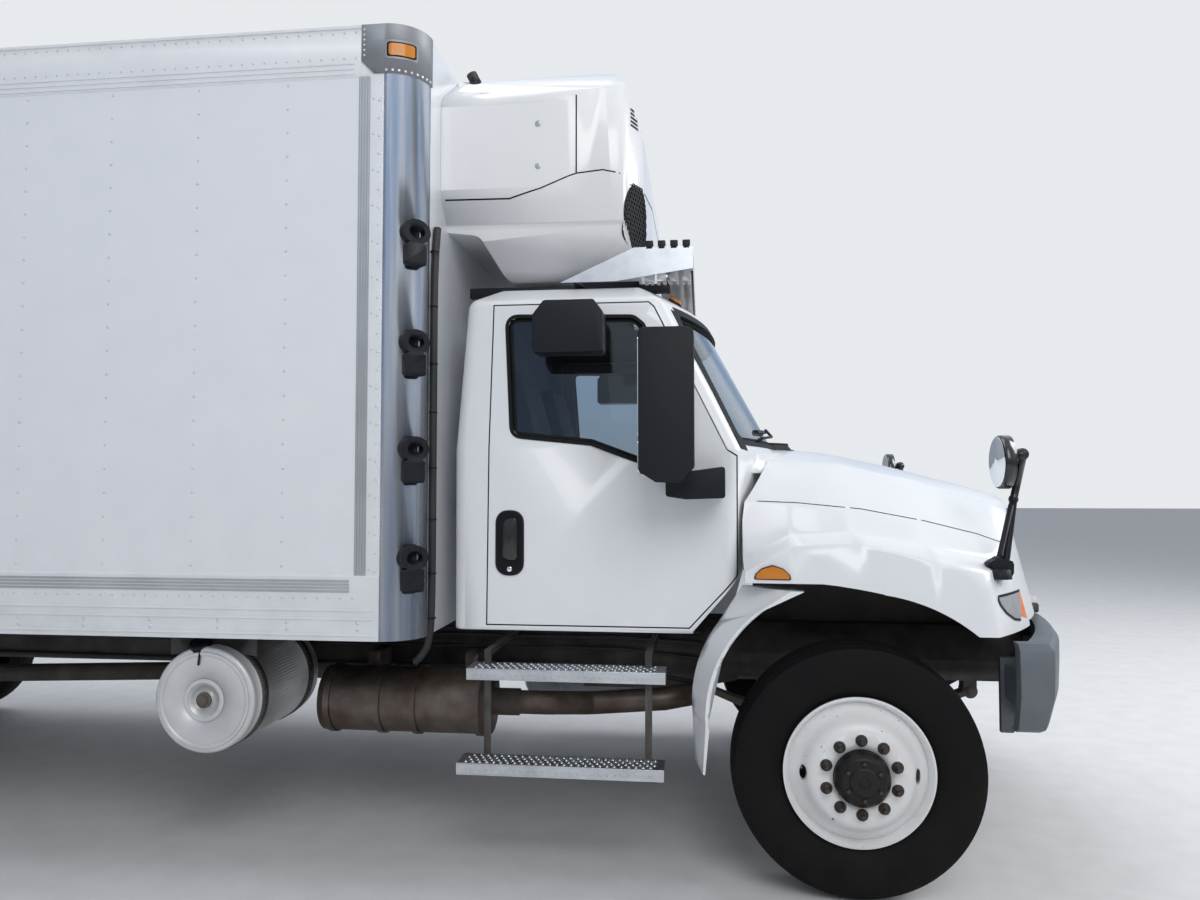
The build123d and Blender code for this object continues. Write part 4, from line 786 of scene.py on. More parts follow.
class Skin:
    """The outer surface of some CAD nodes, on which thin trim is laid over the seams between them."""

    SEAM_REACH = 0.002
    SEAM_DEPTH = 0.010
    FLAT_POINTS = 7
    STEEPEST_DROP = 0.03

    def __init__(self, *nodes: str) -> None:
        """Builds the search tree of the nodes' faces.

        Args:
            nodes: The CAD nodes.
        """
        verts: list[Vector] = []
        faces: list[tuple[int, ...]] = []
        for node in nodes:
            mesh = frame["nodes"][node].data
            base = len(verts)
            verts += [v.co.copy() for v in mesh.vertices]
            faces += [tuple(base + k for k in p.vertices) for p in mesh.polygons]
        self.tree = BVHTree.FromPolygons(verts, faces)

    def hit(self, point: Point, direction: Point) -> tuple[Vector, Vector]:
        """Finds the surface from a point along a direction.

        Args:
            point: Where the search starts, outside the surface.
            direction: Where it goes.

        Returns:
            The point on the surface and its outward normal.
        """
        along = Vector(direction).normalized()
        start = Vector(point)
        step = along.orthogonal().normalized() * self.SEAM_REACH
        found = None
        for offset in (Vector(), step, -step, step.cross(along), -step.cross(along)):
            place, normal, _, distance = self.tree.ray_cast(start + offset, along)
            if place is not None and (found is None or distance < found[0] - self.SEAM_DEPTH):
                found = (distance, normal)
        if found is None:
            place, normal, _, _ = self.tree.find_nearest(start)
        else:
            place, normal = start + along * found[0], found[1]
        return place, (normal if normal.dot(along) < 0 else -normal)

    def strip(self, route: Sequence[Point], direction: Point, width: float, lift: float = 0.002,
              closed: bool = False, sink: float = 0.004) -> Form:
        """Lays a thin strip on the surface.

        Args:
            route: Points outside the surface, along the strip's middle.
            direction: The direction in which they fall on it.
            width: The strip's width.
            lift: How far it stands proud.
            closed: Whether it returns to its start.
            sink: How far it reaches into the surface.

        Returns:
            The strip.
        """
        form = Form()
        along = Vector(direction).normalized()
        line = [Vector(p) for p in route]
        count = len(line)
        rings = []
        for k, point in enumerate(line):
            before = line[k - 1] if k or closed else point
            after = line[(k + 1) % count] if k < count - 1 or closed else point
            across = (after - before).cross(along).normalized() * width / 2
            flat = [2 * n / (self.FLAT_POINTS - 1) - 1 for n in range(self.FLAT_POINTS)]
            starts = [point + edge * across for edge in (-1, *flat, 1)]
            depths = [(self.hit(start, along)[0] - start).dot(along) for start in starts]
            deepest = min(depths) + self.STEEPEST_DROP
            levels = (-sink, *(lift,) * self.FLAT_POINTS, -sink)
            rings.append([form.mesh.verts.new(start + along * (min(depth, deepest) - level))
                          for start, depth, level in zip(starts, depths, levels)])
        for first, second in zip(rings, rings[1:] + (rings[:1] if closed else [])):
            for n in range(len(first)):
                m = (n + 1) % len(first)
                form.mesh.faces.new((first[n], first[m], second[m], second[n]))
        if not closed:
            form.mesh.faces.new(rings[0])
            form.mesh.faces.new(list(reversed(rings[-1])))
        return form

    def patch(self, outline: Sequence[Point], direction: Point, lift: float) -> Form:
        """Lays a thin cover on the surface inside an outline.

        Args:
            outline: Points outside the surface, round the cover.
            direction: The direction in which they fall on it.
            lift: How far it stands proud.

        Returns:
            The cover.
        """
        form = Form()
        line = [Vector(p) for p in outline]
        middle = sum(line, Vector()) / len(line)
        rings = []
        for share in (0.0, 0.2, 0.4, 0.6, 0.8, 1.0):
            hits = [self.hit(middle.lerp(p, share), direction) for p in (line if share else line[:1])]
            rings.append([form.mesh.verts.new(place + normal * lift) for place, normal in hits])
        for first, second in zip(rings, rings[1:]):
            for n in range(len(second)):
                m = (n + 1) % len(second)
                corners = (first[n % len(first)], first[m % len(first)], second[m], second[n])
                form.mesh.faces.new(tuple(dict.fromkeys(corners)))
        return form


def spaced(start: float, pitch: float, count: int) -> list[float]:
    """Returns evenly spaced values, the first at a start."""
    return [start + pitch * k for k in range(count)]


def dense(route: Sequence[Point], step: float = 0.03, closed: bool = False) -> list[Point]:
    """Adds points to a route.

    Args:
        route: Its points.
        step: The furthest that two may lie apart.
        closed: Whether it returns to its start.

    Returns:
        All its points.
    """
    line = [Vector(p) for p in route]
    result: list[Point] = []
    ends = line[1:] + (line[:1] if closed else [])
    for start, end in zip(line, ends):
        parts = max(1, math.ceil((end - start).length / step))
        result += [tuple(start.lerp(end, n / parts)) for n in range(parts)]
    return result if closed else result + [tuple(line[-1])]


def softened(outline: Sequence[Flat], radius: float, steps: int = 6) -> list[Flat]:
    """Returns a closed outline with its corners rounded.

    Args:
        outline: Its corners.
        radius: The corners' radius, which shrinks on short sides.
        steps: Segments in each corner.

    Returns:
        The rounded outline.
    """
    result: list[Flat] = []
    count = len(outline)
    for k in range(count):
        before, here, after = (Vector(outline[(k + d) % count]) for d in (-1, 0, 1))
        into, out = (before - here), (after - here)
        turn = into.angle(out)
        reach = min(radius / math.tan(turn / 2), into.length * CORNER_SHARE, out.length * CORNER_SHARE)
        start, end = here + into.normalized() * reach, here + out.normalized() * reach
        for n in range(steps + 1):
            t = n / steps
            result.append(tuple(start * (1 - t) ** 2 + here * 2 * t * (1 - t) + end * t ** 2))
    return result


class Copies:
    """A Geometry Nodes group that puts one small piece at each point of a mesh."""

    def __init__(self) -> None:
        """Builds the group."""
        tree = bpy.data.node_groups.new("Copies at points", "GeometryNodeTree")
        tree.interface.new_socket("Geometry", in_out="OUTPUT", socket_type="NodeSocketGeometry")
        tree.interface.new_socket("Geometry", in_out="INPUT", socket_type="NodeSocketGeometry")
        piece = tree.interface.new_socket("Piece", in_out="INPUT", socket_type="NodeSocketObject")
        finish = tree.interface.new_socket("Finish", in_out="INPUT", socket_type="NodeSocketMaterial")
        nodes, links = tree.nodes, tree.links
        start, end = nodes.new("NodeGroupInput"), nodes.new("NodeGroupOutput")
        source = nodes.new("GeometryNodeObjectInfo")
        turn = nodes.new("GeometryNodeInputNamedAttribute")
        turn.data_type = "FLOAT_VECTOR"
        turn.inputs["Name"].default_value = "turn"
        spread = nodes.new("GeometryNodeInstanceOnPoints")
        real = nodes.new("GeometryNodeRealizeInstances")
        paint = nodes.new("GeometryNodeSetMaterial")
        links.new(start.outputs["Piece"], source.inputs["Object"])
        links.new(start.outputs["Geometry"], spread.inputs["Points"])
        links.new(source.outputs["Geometry"], spread.inputs["Instance"])
        links.new(turn.outputs["Attribute"], spread.inputs["Rotation"])
        links.new(spread.outputs["Instances"], real.inputs["Geometry"])
        links.new(real.outputs["Geometry"], paint.inputs["Geometry"])
        links.new(start.outputs["Finish"], paint.inputs["Material"])
        links.new(paint.outputs["Geometry"], end.inputs["Geometry"])
        self.tree = tree
        self.piece_socket = piece.identifier
        self.finish_socket = finish.identifier

    def spread(self, name: str, small: Form, places: Sequence[Point], surface: Surface, body: str,
               slot: str | None = None, turns: Sequence[Point] | None = None,
               angle: float = 35.0) -> bpy.types.Object:
        """Puts a copy of a small form at each place and makes one mesh of them.

        Args:
            name: The piece's name.
            small: The form to copy, round the origin.
            places: Where the copies go.
            surface: Their finish.
            body: The CAD body that they ride on.
            slot: The record's material slot, if any; not used.
            turns: Each copy's turn about X, Y and Z in radians.
            angle: Edges sharper than this many degrees stay crisp.

        Returns:
            The piece.
        """
        bmesh.ops.recalc_face_normals(small.mesh, faces=small.mesh.faces)
        seed_mesh = bpy.data.meshes.new("seed")
        small.mesh.to_mesh(seed_mesh)
        small.mesh.free()
        seed = bpy.data.objects.new("seed", seed_mesh)
        dots_mesh = bpy.data.meshes.new("dots")
        dots_mesh.from_pydata([tuple(p) for p in places], [], [])
        attribute = dots_mesh.attributes.new("turn", "FLOAT_VECTOR", "POINT")
        for item, turn in zip(attribute.data, turns or [(0, 0, 0)] * len(places)):
            item.vector = turn
        dots = bpy.data.objects.new("dots", dots_mesh)
        for item in (seed, dots):
            bpy.context.scene.collection.objects.link(item)
        modifier = dots.modifiers.new("Copies", "NODES")
        modifier.node_group = self.tree
        modifier[self.piece_socket] = seed
        modifier[self.finish_socket] = surface.material()
        bpy.context.view_layer.update()
        mesh = bpy.data.meshes.new_from_object(dots.evaluated_get(bpy.context.evaluated_depsgraph_get()))
        dots.modifiers.remove(modifier)
        for item, data in ((dots, dots_mesh), (seed, seed_mesh)):
            bpy.data.objects.remove(item)
            bpy.data.meshes.remove(data)
        mesh.name = name
        return settle(name, mesh, surface, body, slot, (), angle)


# Studio


@dataclass(frozen=True)
class Studio:
    """The photo's camera, a pale floor and soft light."""

    camera_place: Point = (3.4587, -4.7737, 1.649)
    camera_up: float = 2.273
    camera_turn: float = 6.676
    lens: float = 26.2
    sensor: float = 36.0
    floor_half: float = 60.0
    floor_colour: Colour = (0.70, 0.71, 0.73)
    sky_colour: Colour = (0.80, 0.84, 0.90)
    sky_blue: Colour = (0.30, 0.42, 0.62)
    cloud_white: Colour = (0.86, 0.89, 0.93)
    ground_grey: Colour = (0.30, 0.31, 0.33)
    backdrop_grey: Colour = (0.80, 0.82, 0.85)
    sky_strength: float = 0.50
    # Directions' Z where the ground ends and where the open sky starts
    horizon: Flat = (-0.02, 0.25)
    cloud_scale: float = 3.2
    cloud_squash: float = 0.12
    cloud_range: Flat = (0.42, 0.62)

    def build(self) -> None:
        """Adds the camera, the floor, the lights and the surroundings."""
        lens = bpy.data.cameras.new("Camera")
        lens.sensor_width = self.sensor
        lens.lens = self.lens
        lens.clip_end = 300
        camera = bpy.data.objects.new("Camera", lens)
        camera.location = self.camera_place
        camera.rotation_euler = (math.radians(90 + self.camera_up), 0, math.radians(self.camera_turn))
        bpy.context.scene.collection.objects.link(camera)
        bpy.context.scene.camera = camera
        bpy.context.scene.view_settings.view_transform = "Standard"
        self.floor()
        self.light("Key", (5.5, -9.0, 7.5), (1.5, 0.0, 1.6), 6.0, 420.0, (1.0, 0.98, 0.95))
        self.light("Front", (13.0, 1.5, 7.0), (2.5, 0.0, 1.8), 5.0, 620.0, (1.0, 0.99, 0.96))
        self.light("Top", (-1.0, 1.0, 12.0), (0.0, 0.0, 0.0), 9.0, 700.0, (0.95, 0.975, 1.0))
        self.surroundings()

    def floor(self) -> None:
        """Adds the pale floor."""
        h = self.floor_half
        mesh = bpy.data.meshes.new("Floor")
        mesh.from_pydata([(-h, -h, 0), (h, -h, 0), (h, h, 0), (-h, h, 0)], [], [(0, 1, 2, 3)])
        made = bpy.data.objects.new("Floor", mesh)
        mesh.materials.append(Finish("FloorPaint", self.floor_colour, roughness=0.75, specular=0.2,
                                     grain_scale=60).material())
        bpy.context.scene.collection.objects.link(made)
        made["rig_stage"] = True

    def light(self, name: str, place: Point, aim: Point, size: float, power: float, colour: Colour) -> None:
        """Adds a large soft lamp.

        Args:
            name: The lamp's name.
            place: Where it hangs.
            aim: What it faces.
            size: Its side.
            power: Its power in watts.
            colour: Its colour.
        """
        lamp = bpy.data.lights.new(name, "AREA")
        lamp.size = size
        lamp.energy = power
        lamp.color = colour
        made = bpy.data.objects.new(name, lamp)
        made.location = place
        made.rotation_euler = (Vector(aim) - Vector(place)).to_track_quat("-Z", "Y").to_euler()
        bpy.context.scene.collection.objects.link(made)
        made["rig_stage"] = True

    def surroundings(self) -> None:
        """Adds the pale sky, with a darker level band for polished metal to reflect."""
        world = bpy.data.worlds.new("Surroundings")
        bpy.context.scene.world = world
        world.use_nodes = True
        shader = Shader(world.node_tree)
        sky = world.node_tree.nodes["Background"]
        sky.inputs["Color"].default_value = (*self.sky_colour, 1)
        sky.inputs["Strength"].default_value = self.sky_strength
        seen = shader.node("Background")
        split = shader.node("SeparateXYZ")
        shader.link(shader.node("TexCoord").outputs["Generated"], split.inputs[0])
        rise = shader.ramp(split.outputs["Z"], *self.horizon)
        flat = shader.node("VectorMath", operation="MULTIPLY")
        shader.link(shader.node("TexCoord").outputs["Generated"], flat.inputs[0])
        flat.inputs[1].default_value = (1.0, 1.0, self.cloud_squash)
        clouds = shader.ramp(shader.noise(flat.outputs[0], self.cloud_scale), *self.cloud_range)
        sky_shade = shader.mix(clouds, self.sky_blue, self.cloud_white)
        shader.link(shader.mix(rise, self.ground_grey, sky_shade), seen.inputs["Color"])
        backdrop = shader.node("Background")
        backdrop.inputs["Color"].default_value = (*self.backdrop_grey, 1)
        ray = shader.node("LightPath")
        first = shader.node("MixShader")
        shader.link(ray.outputs["Is Glossy Ray"], first.inputs[0])
        shader.link(sky.outputs[0], first.inputs[1])
        shader.link(seen.outputs[0], first.inputs[2])
        second = shader.node("MixShader")
        shader.link(ray.outputs["Is Camera Ray"], second.inputs[0])
        shader.link(first.outputs[0], second.inputs[1])
        shader.link(backdrop.outputs[0], second.inputs[2])
        shader.link(second.outputs[0], world.node_tree.nodes["World Output"].inputs["Surface"])


# The truck's parts

COPIES = Copies()


@dataclass(frozen=True)
class Tyre:
    """A ribbed or lugged tyre, turned about its axle."""

    radius: float = 0.505
    half_width: float = 0.1375
    shoulder: float = 0.1205
    bead: float = 0.101
    seat: float = 0.2875
    grooves: tuple[float, ...] = (-0.083, -0.042, 0.0, 0.042, 0.083)
    groove_width: float = 0.011
    groove_depth: float = 0.013
    widest: float = 0.395
    wall_start: float = 0.014
    wall_drop: float = 0.016
    crown_drop: float = 0.0155
    rings: tuple[float, ...] = (0.318, 0.338, 0.452, 0.468)
    ring_rise: float = 0.0012
    ring_half: float = 0.004
    steps: int = 180

    def arc(self, start: Flat, middle: Flat, end: Flat, count: int) -> list[Flat]:
        """Draws the arc through three points.

        Args:
            start: The first point.
            middle: A point between.
            end: The last point.
            count: Its segments.

        Returns:
            Its points.
        """
        (x1, y1), (x2, y2), (x3, y3) = start, middle, end
        s1, s2, s3 = (x * x + y * y for x, y in (start, middle, end))
        d = 2 * (x1 * (y2 - y3) + x2 * (y3 - y1) + x3 * (y1 - y2))
        cx = (s1 * (y2 - y3) + s2 * (y3 - y1) + s3 * (y1 - y2)) / d
        cy = (s1 * (x3 - x2) + s2 * (x1 - x3) + s3 * (x2 - x1)) / d
        r = math.hypot(x1 - cx, y1 - cy)
        a1, a3 = math.atan2(y1 - cy, x1 - cx), math.atan2(y3 - cy, x3 - cx)
        if a3 - a1 > math.pi:
            a3 -= 2 * math.pi
        if a3 - a1 < -math.pi:
            a3 += 2 * math.pi
        angles = [a1 + (a3 - a1) * n / count for n in range(count + 1)]
        return [(cx + r * math.cos(a), cy + r * math.sin(a)) for a in angles]

    def profile(self) -> list[Flat]:
        """Draws the section from bead to bead.

        Returns:
            Its points as (offset from the middle, radius).
        """
        wall = self.arc((-self.bead, self.seat + self.wall_start), (-self.half_width, self.widest),
                        (-self.shoulder, self.radius - self.wall_drop), 44)
        wall = [(w - self.ring_height(r), r) for w, r in wall]
        edge = self.shoulder - 0.006
        tread: list[Flat] = [(-edge, self.crown_radius(-edge))]
        for middle in self.grooves:
            left, right = middle - self.groove_width / 2, middle + self.groove_width / 2
            at_left, at_right = self.crown_radius(left), self.crown_radius(right)
            tread += [(left - 0.001, at_left), (left + 0.001, at_left - self.groove_depth),
                      (right - 0.001, at_right - self.groove_depth), (right + 0.001, at_right)]
        tread.append((edge, self.crown_radius(edge)))
        other = [(-w, r) for w, r in reversed(wall)]
        return [(-self.bead + 0.02, self.seat), (-self.bead, self.seat), *wall, *tread, *other,
                (self.bead, self.seat), (self.bead - 0.02, self.seat)]

    def ring_height(self, radius: float) -> float:
        """Returns how far the side wall's moulded rings stand out at a radius."""
        return max(self.ring_rise * max(0.0, 1 - abs(radius - ring) / self.ring_half) for ring in self.rings)

    def crown_radius(self, offset: float) -> float:
        """Returns the tread's radius at an offset from the middle."""
        return self.radius - 0.0005 - self.crown_drop * (offset / self.shoulder) ** 2

    def form(self, centre: Point) -> Form:
        """Returns the tyre round a centre."""
        return Form().add_lathe(centre, (0, 1, 0), self.profile(), self.steps)


@dataclass(frozen=True)
class Wheels:
    """The tyres, the wheels and what is bolted to them."""

    front_middle: float = 1.047
    rear_middles: tuple[float, float] = (0.739, 1.082)
    stud_circle: float = 0.142875
    stud_count: int = 10
    lug_rows: tuple[float, ...] = (-0.104, -0.062, -0.021, 0.021, 0.062, 0.104)
    lug_count: int = 60
    bolt_circle: float = 0.070
    bolt_count: int = 6
    nut_ring: Flat = (0.118, 0.168)
    hub_radius: float = 0.112
    drum_radius: float = 0.209

    def build(self) -> None:
        """Dresses all wheels."""
        front, rear = Tyre(), Tyre(groove_depth=0.003, grooves=(-0.083, -0.0415, 0.0, 0.0415, 0.083))
        for word, side in SIDES.items():
            body = f"front_wheel_{word}"
            front.form((FRONT_AXLE, side * self.front_middle, AXLE_HEIGHT)).piece(
                f"front_tread_{word}", Surface.TYRE, body, "tyre_rubber", (f"front_tyre_{word}",), 50)
            self.hub(word, side, body, FRONT_AXLE, 1.273)
            tyres = Form()
            for middle in self.rear_middles:
                tyres.absorb(rear.form((REAR_AXLE, side * middle, AXLE_HEIGHT)))
            tyres.piece(f"rear_tread_{word}", Surface.TYRE, f"rear_wheels_{word}", "tyre_rubber",
                        (f"rear_tyres_{word}",), 50)
            self.lugs(word, side)
            self.metal(f"front_wheel_{word}", FRONT_AXLE, 1.2075, 1.219, side)
            self.metal(f"rear_wheels_{word}", REAR_AXLE, 0.88, 0.95, side)

    def metal(self, node: str, axle: float, back: float, face: float, side: int) -> None:
        """Dresses a wheel node: white discs and rims, dark nuts, black hub and iron drum.

        Args:
            node: The CAD node.
            axle: The axle's X.
            back: |Y| of the disc's inner side.
            face: |Y| of the disc's outer side.
            side: -1 for the right wheel and 1 for the left.
        """
        def radius(p: Vector) -> float:
            """Returns a point's distance from the axle."""
            return math.hypot(p.x - axle, p.z - AXLE_HEIGHT)

        front = node.startswith("front")
        low, high = self.nut_ring
        nuts = Zone(Surface.NUT_STEEL, lambda p, n: front and low < radius(p) < high
                    and side * p.y > face + 0.0005)
        hub = Zone(Surface.HUB_BLACK, lambda p, n: radius(p) < self.hub_radius)
        drum = Zone(Surface.CAST_IRON, lambda p, n: front and radius(p) < self.drum_radius
                    and side * p.y < back - (0.002 if radius(p) < 0.17 else 0.024))
        dressed(node, Surface.WHEEL_PAINT, "wheel_white", (nuts, hub, drum))

    def lugs(self, word: str, side: int) -> None:
        """Adds the drive tyres' tread blocks.

        Args:
            word: The side's name.
            side: -1 for the right and 1 for the left.
        """
        places, turns = [], []
        tyre = Tyre()
        for middle in self.rear_middles:
            for row, offset in enumerate(self.lug_rows):
                radius = tyre.crown_radius(offset) - 0.006
                for k in range(self.lug_count):
                    a = 2 * math.pi * (k + 0.5 * (row % 2)) / self.lug_count
                    places.append((REAR_AXLE + radius * math.sin(a), side * middle + offset,
                                   AXLE_HEIGHT + radius * math.cos(a)))
                    turns.append((0, a, 0))
        block = Form().add_block((-0.0205, -0.0165, -0.012), (0.0205, 0.0165, 0.005), 0.0015)
        COPIES.spread(f"rear_lugs_{word}", block, places, Surface.TYRE, f"rear_wheels_{word}", "tyre_rubber",
                      turns)

    def ring(self, axle: float, y: float, radius: float, count: int, first: float) -> list[Point]:
        """Returns places round an axle, the first at an angle in degrees above straight ahead."""
        angles = [math.radians(first) + 2 * math.pi * k / count for k in range(count)]
        return [(axle + radius * math.cos(a), y, AXLE_HEIGHT + radius * math.sin(a)) for a in angles]

    def hub(self, word: str, side: int, body: str, axle: float, end: float) -> None:
        """Adds a front hub's cap, its bolts, and the wheel studs' ends.

        Args:
            word: The side's name.
            side: -1 for the right and 1 for the left.
            body: The wheel's body.
            axle: The axle's X.
            end: |Y| of the hub's end.
        """
        out = (0, side, 0)
        cap = [(-0.004, 0.0), (-0.004, 0.083), (0.004, 0.083), (0.006, 0.081), (0.006, 0.058), (0.012, 0.054),
               (0.014, 0.049), (0.014, 0.022), (0.010, 0.019), (0.010, 0.0)]
        Form().add_lathe((axle, side * end, AXLE_HEIGHT), out, cap, 48).piece(
            f"hub_cap_{word}", Surface.HUB_BLACK, body, "axle_iron")
        bolt = turned(out, [(-0.002, 0.0), (-0.002, 0.008), (0.007, 0.008), (0.008, 0.006), (0.008, 0.0)], 6)
        bolts = self.ring(axle, side * (end + 0.006), self.bolt_circle, self.bolt_count, 30)
        COPIES.spread(f"hub_bolts_{word}", bolt, bolts, Surface.NUT_STEEL, body, "axle_iron")
        stud = turned(out, [(-0.030, 0.0), (-0.030, 0.0105), (0.009, 0.0105), (0.012, 0.0085),
                            (0.012, 0.0)], 12)
        flange = turned(out, [(-0.0005, 0.0), (-0.0005, 0.0235), (0.004, 0.0235), (0.008, 0.0195),
                              (0.008, 0.0)], 24)
        face = end - 0.0545
        circle = self.ring(axle, side * (face + 0.0265), self.stud_circle, self.stud_count, 18)
        COPIES.spread(f"wheel_studs_{word}", stud, circle, Surface.NUT_STEEL, body, "axle_iron")
        COPIES.spread(f"wheel_nut_flanges_{word}", flange, [(x, side * face, z) for x, _, z in circle],
                      Surface.NUT_STEEL, body, "axle_iron")


@dataclass(frozen=True)
class Bar:
    """A bar on the box's side, between two stations and two heights.

    It stands proud of the surface at |Y| base by its lift, and reaches into it by its sink.
    """

    rear: float
    front: float
    low: float
    high: float
    base: float
    lift: float
    bevel: float = 0.0
    sink: float = 0.004

    def add_to(self, form: Form, side: int) -> None:
        """Adds the bar to a form, on the right or the left."""
        form.add_block((st(self.rear), side * (self.base - self.sink), self.low),
                       (st(self.front), side * (self.base + self.lift), self.high), self.bevel)


@dataclass(frozen=True)
class BoxBody:
    """The insulated box: rails, corner posts, caps, rivets and trim."""

    panel: float = 1.290
    rail: float = 1.295
    rail_end: float = -8.9
    panel_low: float = 1.275
    panel_high: float = 3.37
    front_column: float = -2.361
    column_pitch: float = 0.4035
    rivet_pitch: float = 0.102
    rail_pitch: float = 0.0508
    pair_pitch: float = 0.3045
    flange: float = 1.292
    flange_pitch: float = 0.152
    post_pitch: float = 0.06
    corner_x: float = -1.937
    corner_y: float = 1.136
    corner_radius: float = 0.154
    cap_face: float = 0.0085

    def build(self) -> None:
        """Dresses the box and adds its fasteners."""
        on_rail = Zone(Surface.RAIL_WHITE, lambda p, n: abs(n.y) >= 0.5
                       and not self.panel_low < p.z < self.panel_high)
        dressed("box_side_walls", Surface.PANEL_WHITE, "panel_white", (on_rail,), 20)
        dressed("box_front_wall", Surface.PANEL_WHITE, "panel_white")
        dressed("box_roof", Surface.PANEL_WHITE, "panel_white")
        dressed("box_corners", Surface.POLISHED, "polished_steel", (Zone(Surface.CAST_CAP, self.in_cap),), 40)
        self.rivets()
        self.trim()
        self.caps()

    def in_cap(self, p: Vector, _: Vector) -> bool:
        """Tells whether a point is on a corner's cast cap."""
        return p.z > self.panel_high and (p.x < st(-1.936) or p.z > 3.376 and abs(p.y) > 1.13)

    def dome(self, side: int, radius: float, height: float) -> Form:
        """Returns a rivet head that faces outwards on a side."""
        return turned((0, side, 0), [(-0.001, 0.0), (-0.001, radius), (height * 0.45, radius * 0.92),
                                     (height * 0.85, radius * 0.55), (height, 0.0)], 8)

    def rivets(self) -> None:
        """Adds the rivets of the side panels, the rails and the posts."""
        columns = spaced(self.front_column, -self.column_pitch, 17)
        heights = spaced(1.31, self.rivet_pitch, 21)
        small: list[Point] = [(x, self.panel, z) for x in columns for z in heights]
        small += [(-1.980, self.flange, z) for z in spaced(1.30, self.flange_pitch, 14)]
        small += [(-1.956, self.flange, z) for z in spaced(1.29, self.flange_pitch / 2, 27)]
        rail = [(x, self.rail, z) for x in spaced(-2.06, -self.rail_pitch, 136) for z in (3.452, 3.562)]
        rail += [(x, self.rail, 1.181) for x in spaced(-2.05, -self.rail_pitch, 136)]
        big = [(x, self.rail, z) for x in spaced(-2.026, -self.pair_pitch, 23) for z in (1.079, 1.050)]
        post = [(-1.945, self.panel + 0.0006, z) for z in spaced(1.06, self.post_pitch, 39)]
        kinds = (("panel_rivets", small, 0.0068, 0.0032, Surface.RIVET, "panel_white"),
                 ("rail_rivets", rail, 0.0058, 0.0030, Surface.RIVET, "panel_white"),
                 ("rail_bolts", big, 0.0085, 0.0042, Surface.RIVET, "panel_white"),
                 ("post_rivets", post, 0.005, 0.0028, Surface.CHROME, "polished_steel"))
        for word, side in SIDES.items():
            for name, points, radius, height, surface, slot in kinds:
                places = [(st(x), side * y, z) for x, y, z in points]
                COPIES.spread(f"{name}_{word}", self.dome(side, radius, height), places, surface, "chassis",
                              slot, angle=60)

    def trim(self) -> None:
        """Adds the grooved trims beside the posts, along the lower rail and under the top rail."""
        panel, rail, end = self.panel, self.rail, self.rail_end
        upright = [Bar(x, x + 0.008, 1.272, 3.372, panel, 0.0036, 0.0015)
                   for x in (-2.044, -2.032, -2.020, -2.008)]
        pieces = (
            ("upright_trim", Surface.TRIM_GREY, [*upright, Bar(-2.046, -1.996, 1.271, 3.373, panel, 0.0012)]),
            ("post_flange", Surface.RAIL_WHITE, [Bar(-1.995, -1.9385, 1.271, 3.373, panel, 0.0022, 0.0008)]),
            ("lower_trim", Surface.TRIM_GREY,
             [Bar(end, -2.064, z, z + 0.009, rail, 0.0035, 0.0015) for z in (1.204, 1.218, 1.232, 1.246)]),
            ("rail_ridges", Surface.RAIL_WHITE,
             [Bar(end, -1.962, z - 0.004, z + 0.005, rail, 0.0048, 0.0035) for z in (1.130, 1.094, 1.028)]),
            ("upper_ribs", Surface.RAIL_WHITE,
             [Bar(end, -2.065, z, z + 0.011, rail, 0.0035, 0.002) for z in (3.380, 3.402, 3.424)]),
            ("drip_edge", Surface.RAIL_WHITE, [Bar(end, -2.03, 3.578, 3.592, rail, 0.0030, 0.002, 0.006)]),
        )
        for name, surface, bars in pieces:
            for word, side in SIDES.items():
                form = Form()
                for bar in bars:
                    bar.add_to(form, side)
                form.piece(f"{name}_{word}", surface, "chassis", "panel_white")

    def caps(self) -> None:
        """Adds the amber lamps that wrap round the corner caps, with their frames and rivets."""
        for word, side in SIDES.items():
            out = (0, side, 0)
            self.wrap(side, 2, 52, 3.440, 3.522, 0.0105).piece(
                f"cap_frame_{word}", Surface.CAST_CAP, "chassis", "polished_steel")
            self.wrap(side, 5, 49, 3.450, 3.512, 0.0125).piece(
                f"cap_socket_{word}", Surface.SEAL, "chassis", "black_plastic")
            self.wrap(side, 8, 46, 3.454, 3.505, 0.0150).piece(
                f"cap_lens_{word}", Surface.AMBER, "chassis", "lamp_lens")
            places, turns = [], []
            for k in range(9):
                (x, y), angle = self.on_corner(side, 4 + 9.5 * k, self.cap_face)
                places.append((x, y, 3.392))
                turns.append((0.0, 0.0, angle))
            dome = turned(out, [(-0.001, 0.0), (-0.001, 0.006), (0.002, 0.005), (0.003, 0.0)], 10)
            COPIES.spread(f"cap_rivets_{word}", dome, places, Surface.RIVET, "chassis", "polished_steel",
                          turns, 60)
            column = [(st(-2.022), side * 1.299, 3.46 + 0.022 * k) for k in range(6)]
            flat = turned(out, [(-0.002, 0.0), (-0.002, 0.005), (0.001, 0.004), (0.002, 0.0)], 10)
            COPIES.spread(f"cap_edge_rivets_{word}", flat, column, Surface.RIVET, "chassis", "polished_steel",
                          angle=60)

    def on_corner(self, side: int, degrees: float, lift: float) -> tuple[Flat, float]:
        """Finds a point on a corner post.

        Args:
            side: -1 for the right post and 1 for the left.
            degrees: The way round from the side towards the front.
            lift: How far outside the post.

        Returns:
            Its X and Y, and the turn about Z that faces it outwards.
        """
        angle = math.radians(degrees)
        reach = self.corner_radius + lift
        x = st(self.corner_x) + reach * math.sin(angle)
        y = side * (self.corner_y + reach * math.cos(angle))
        return (x, y), -side * angle

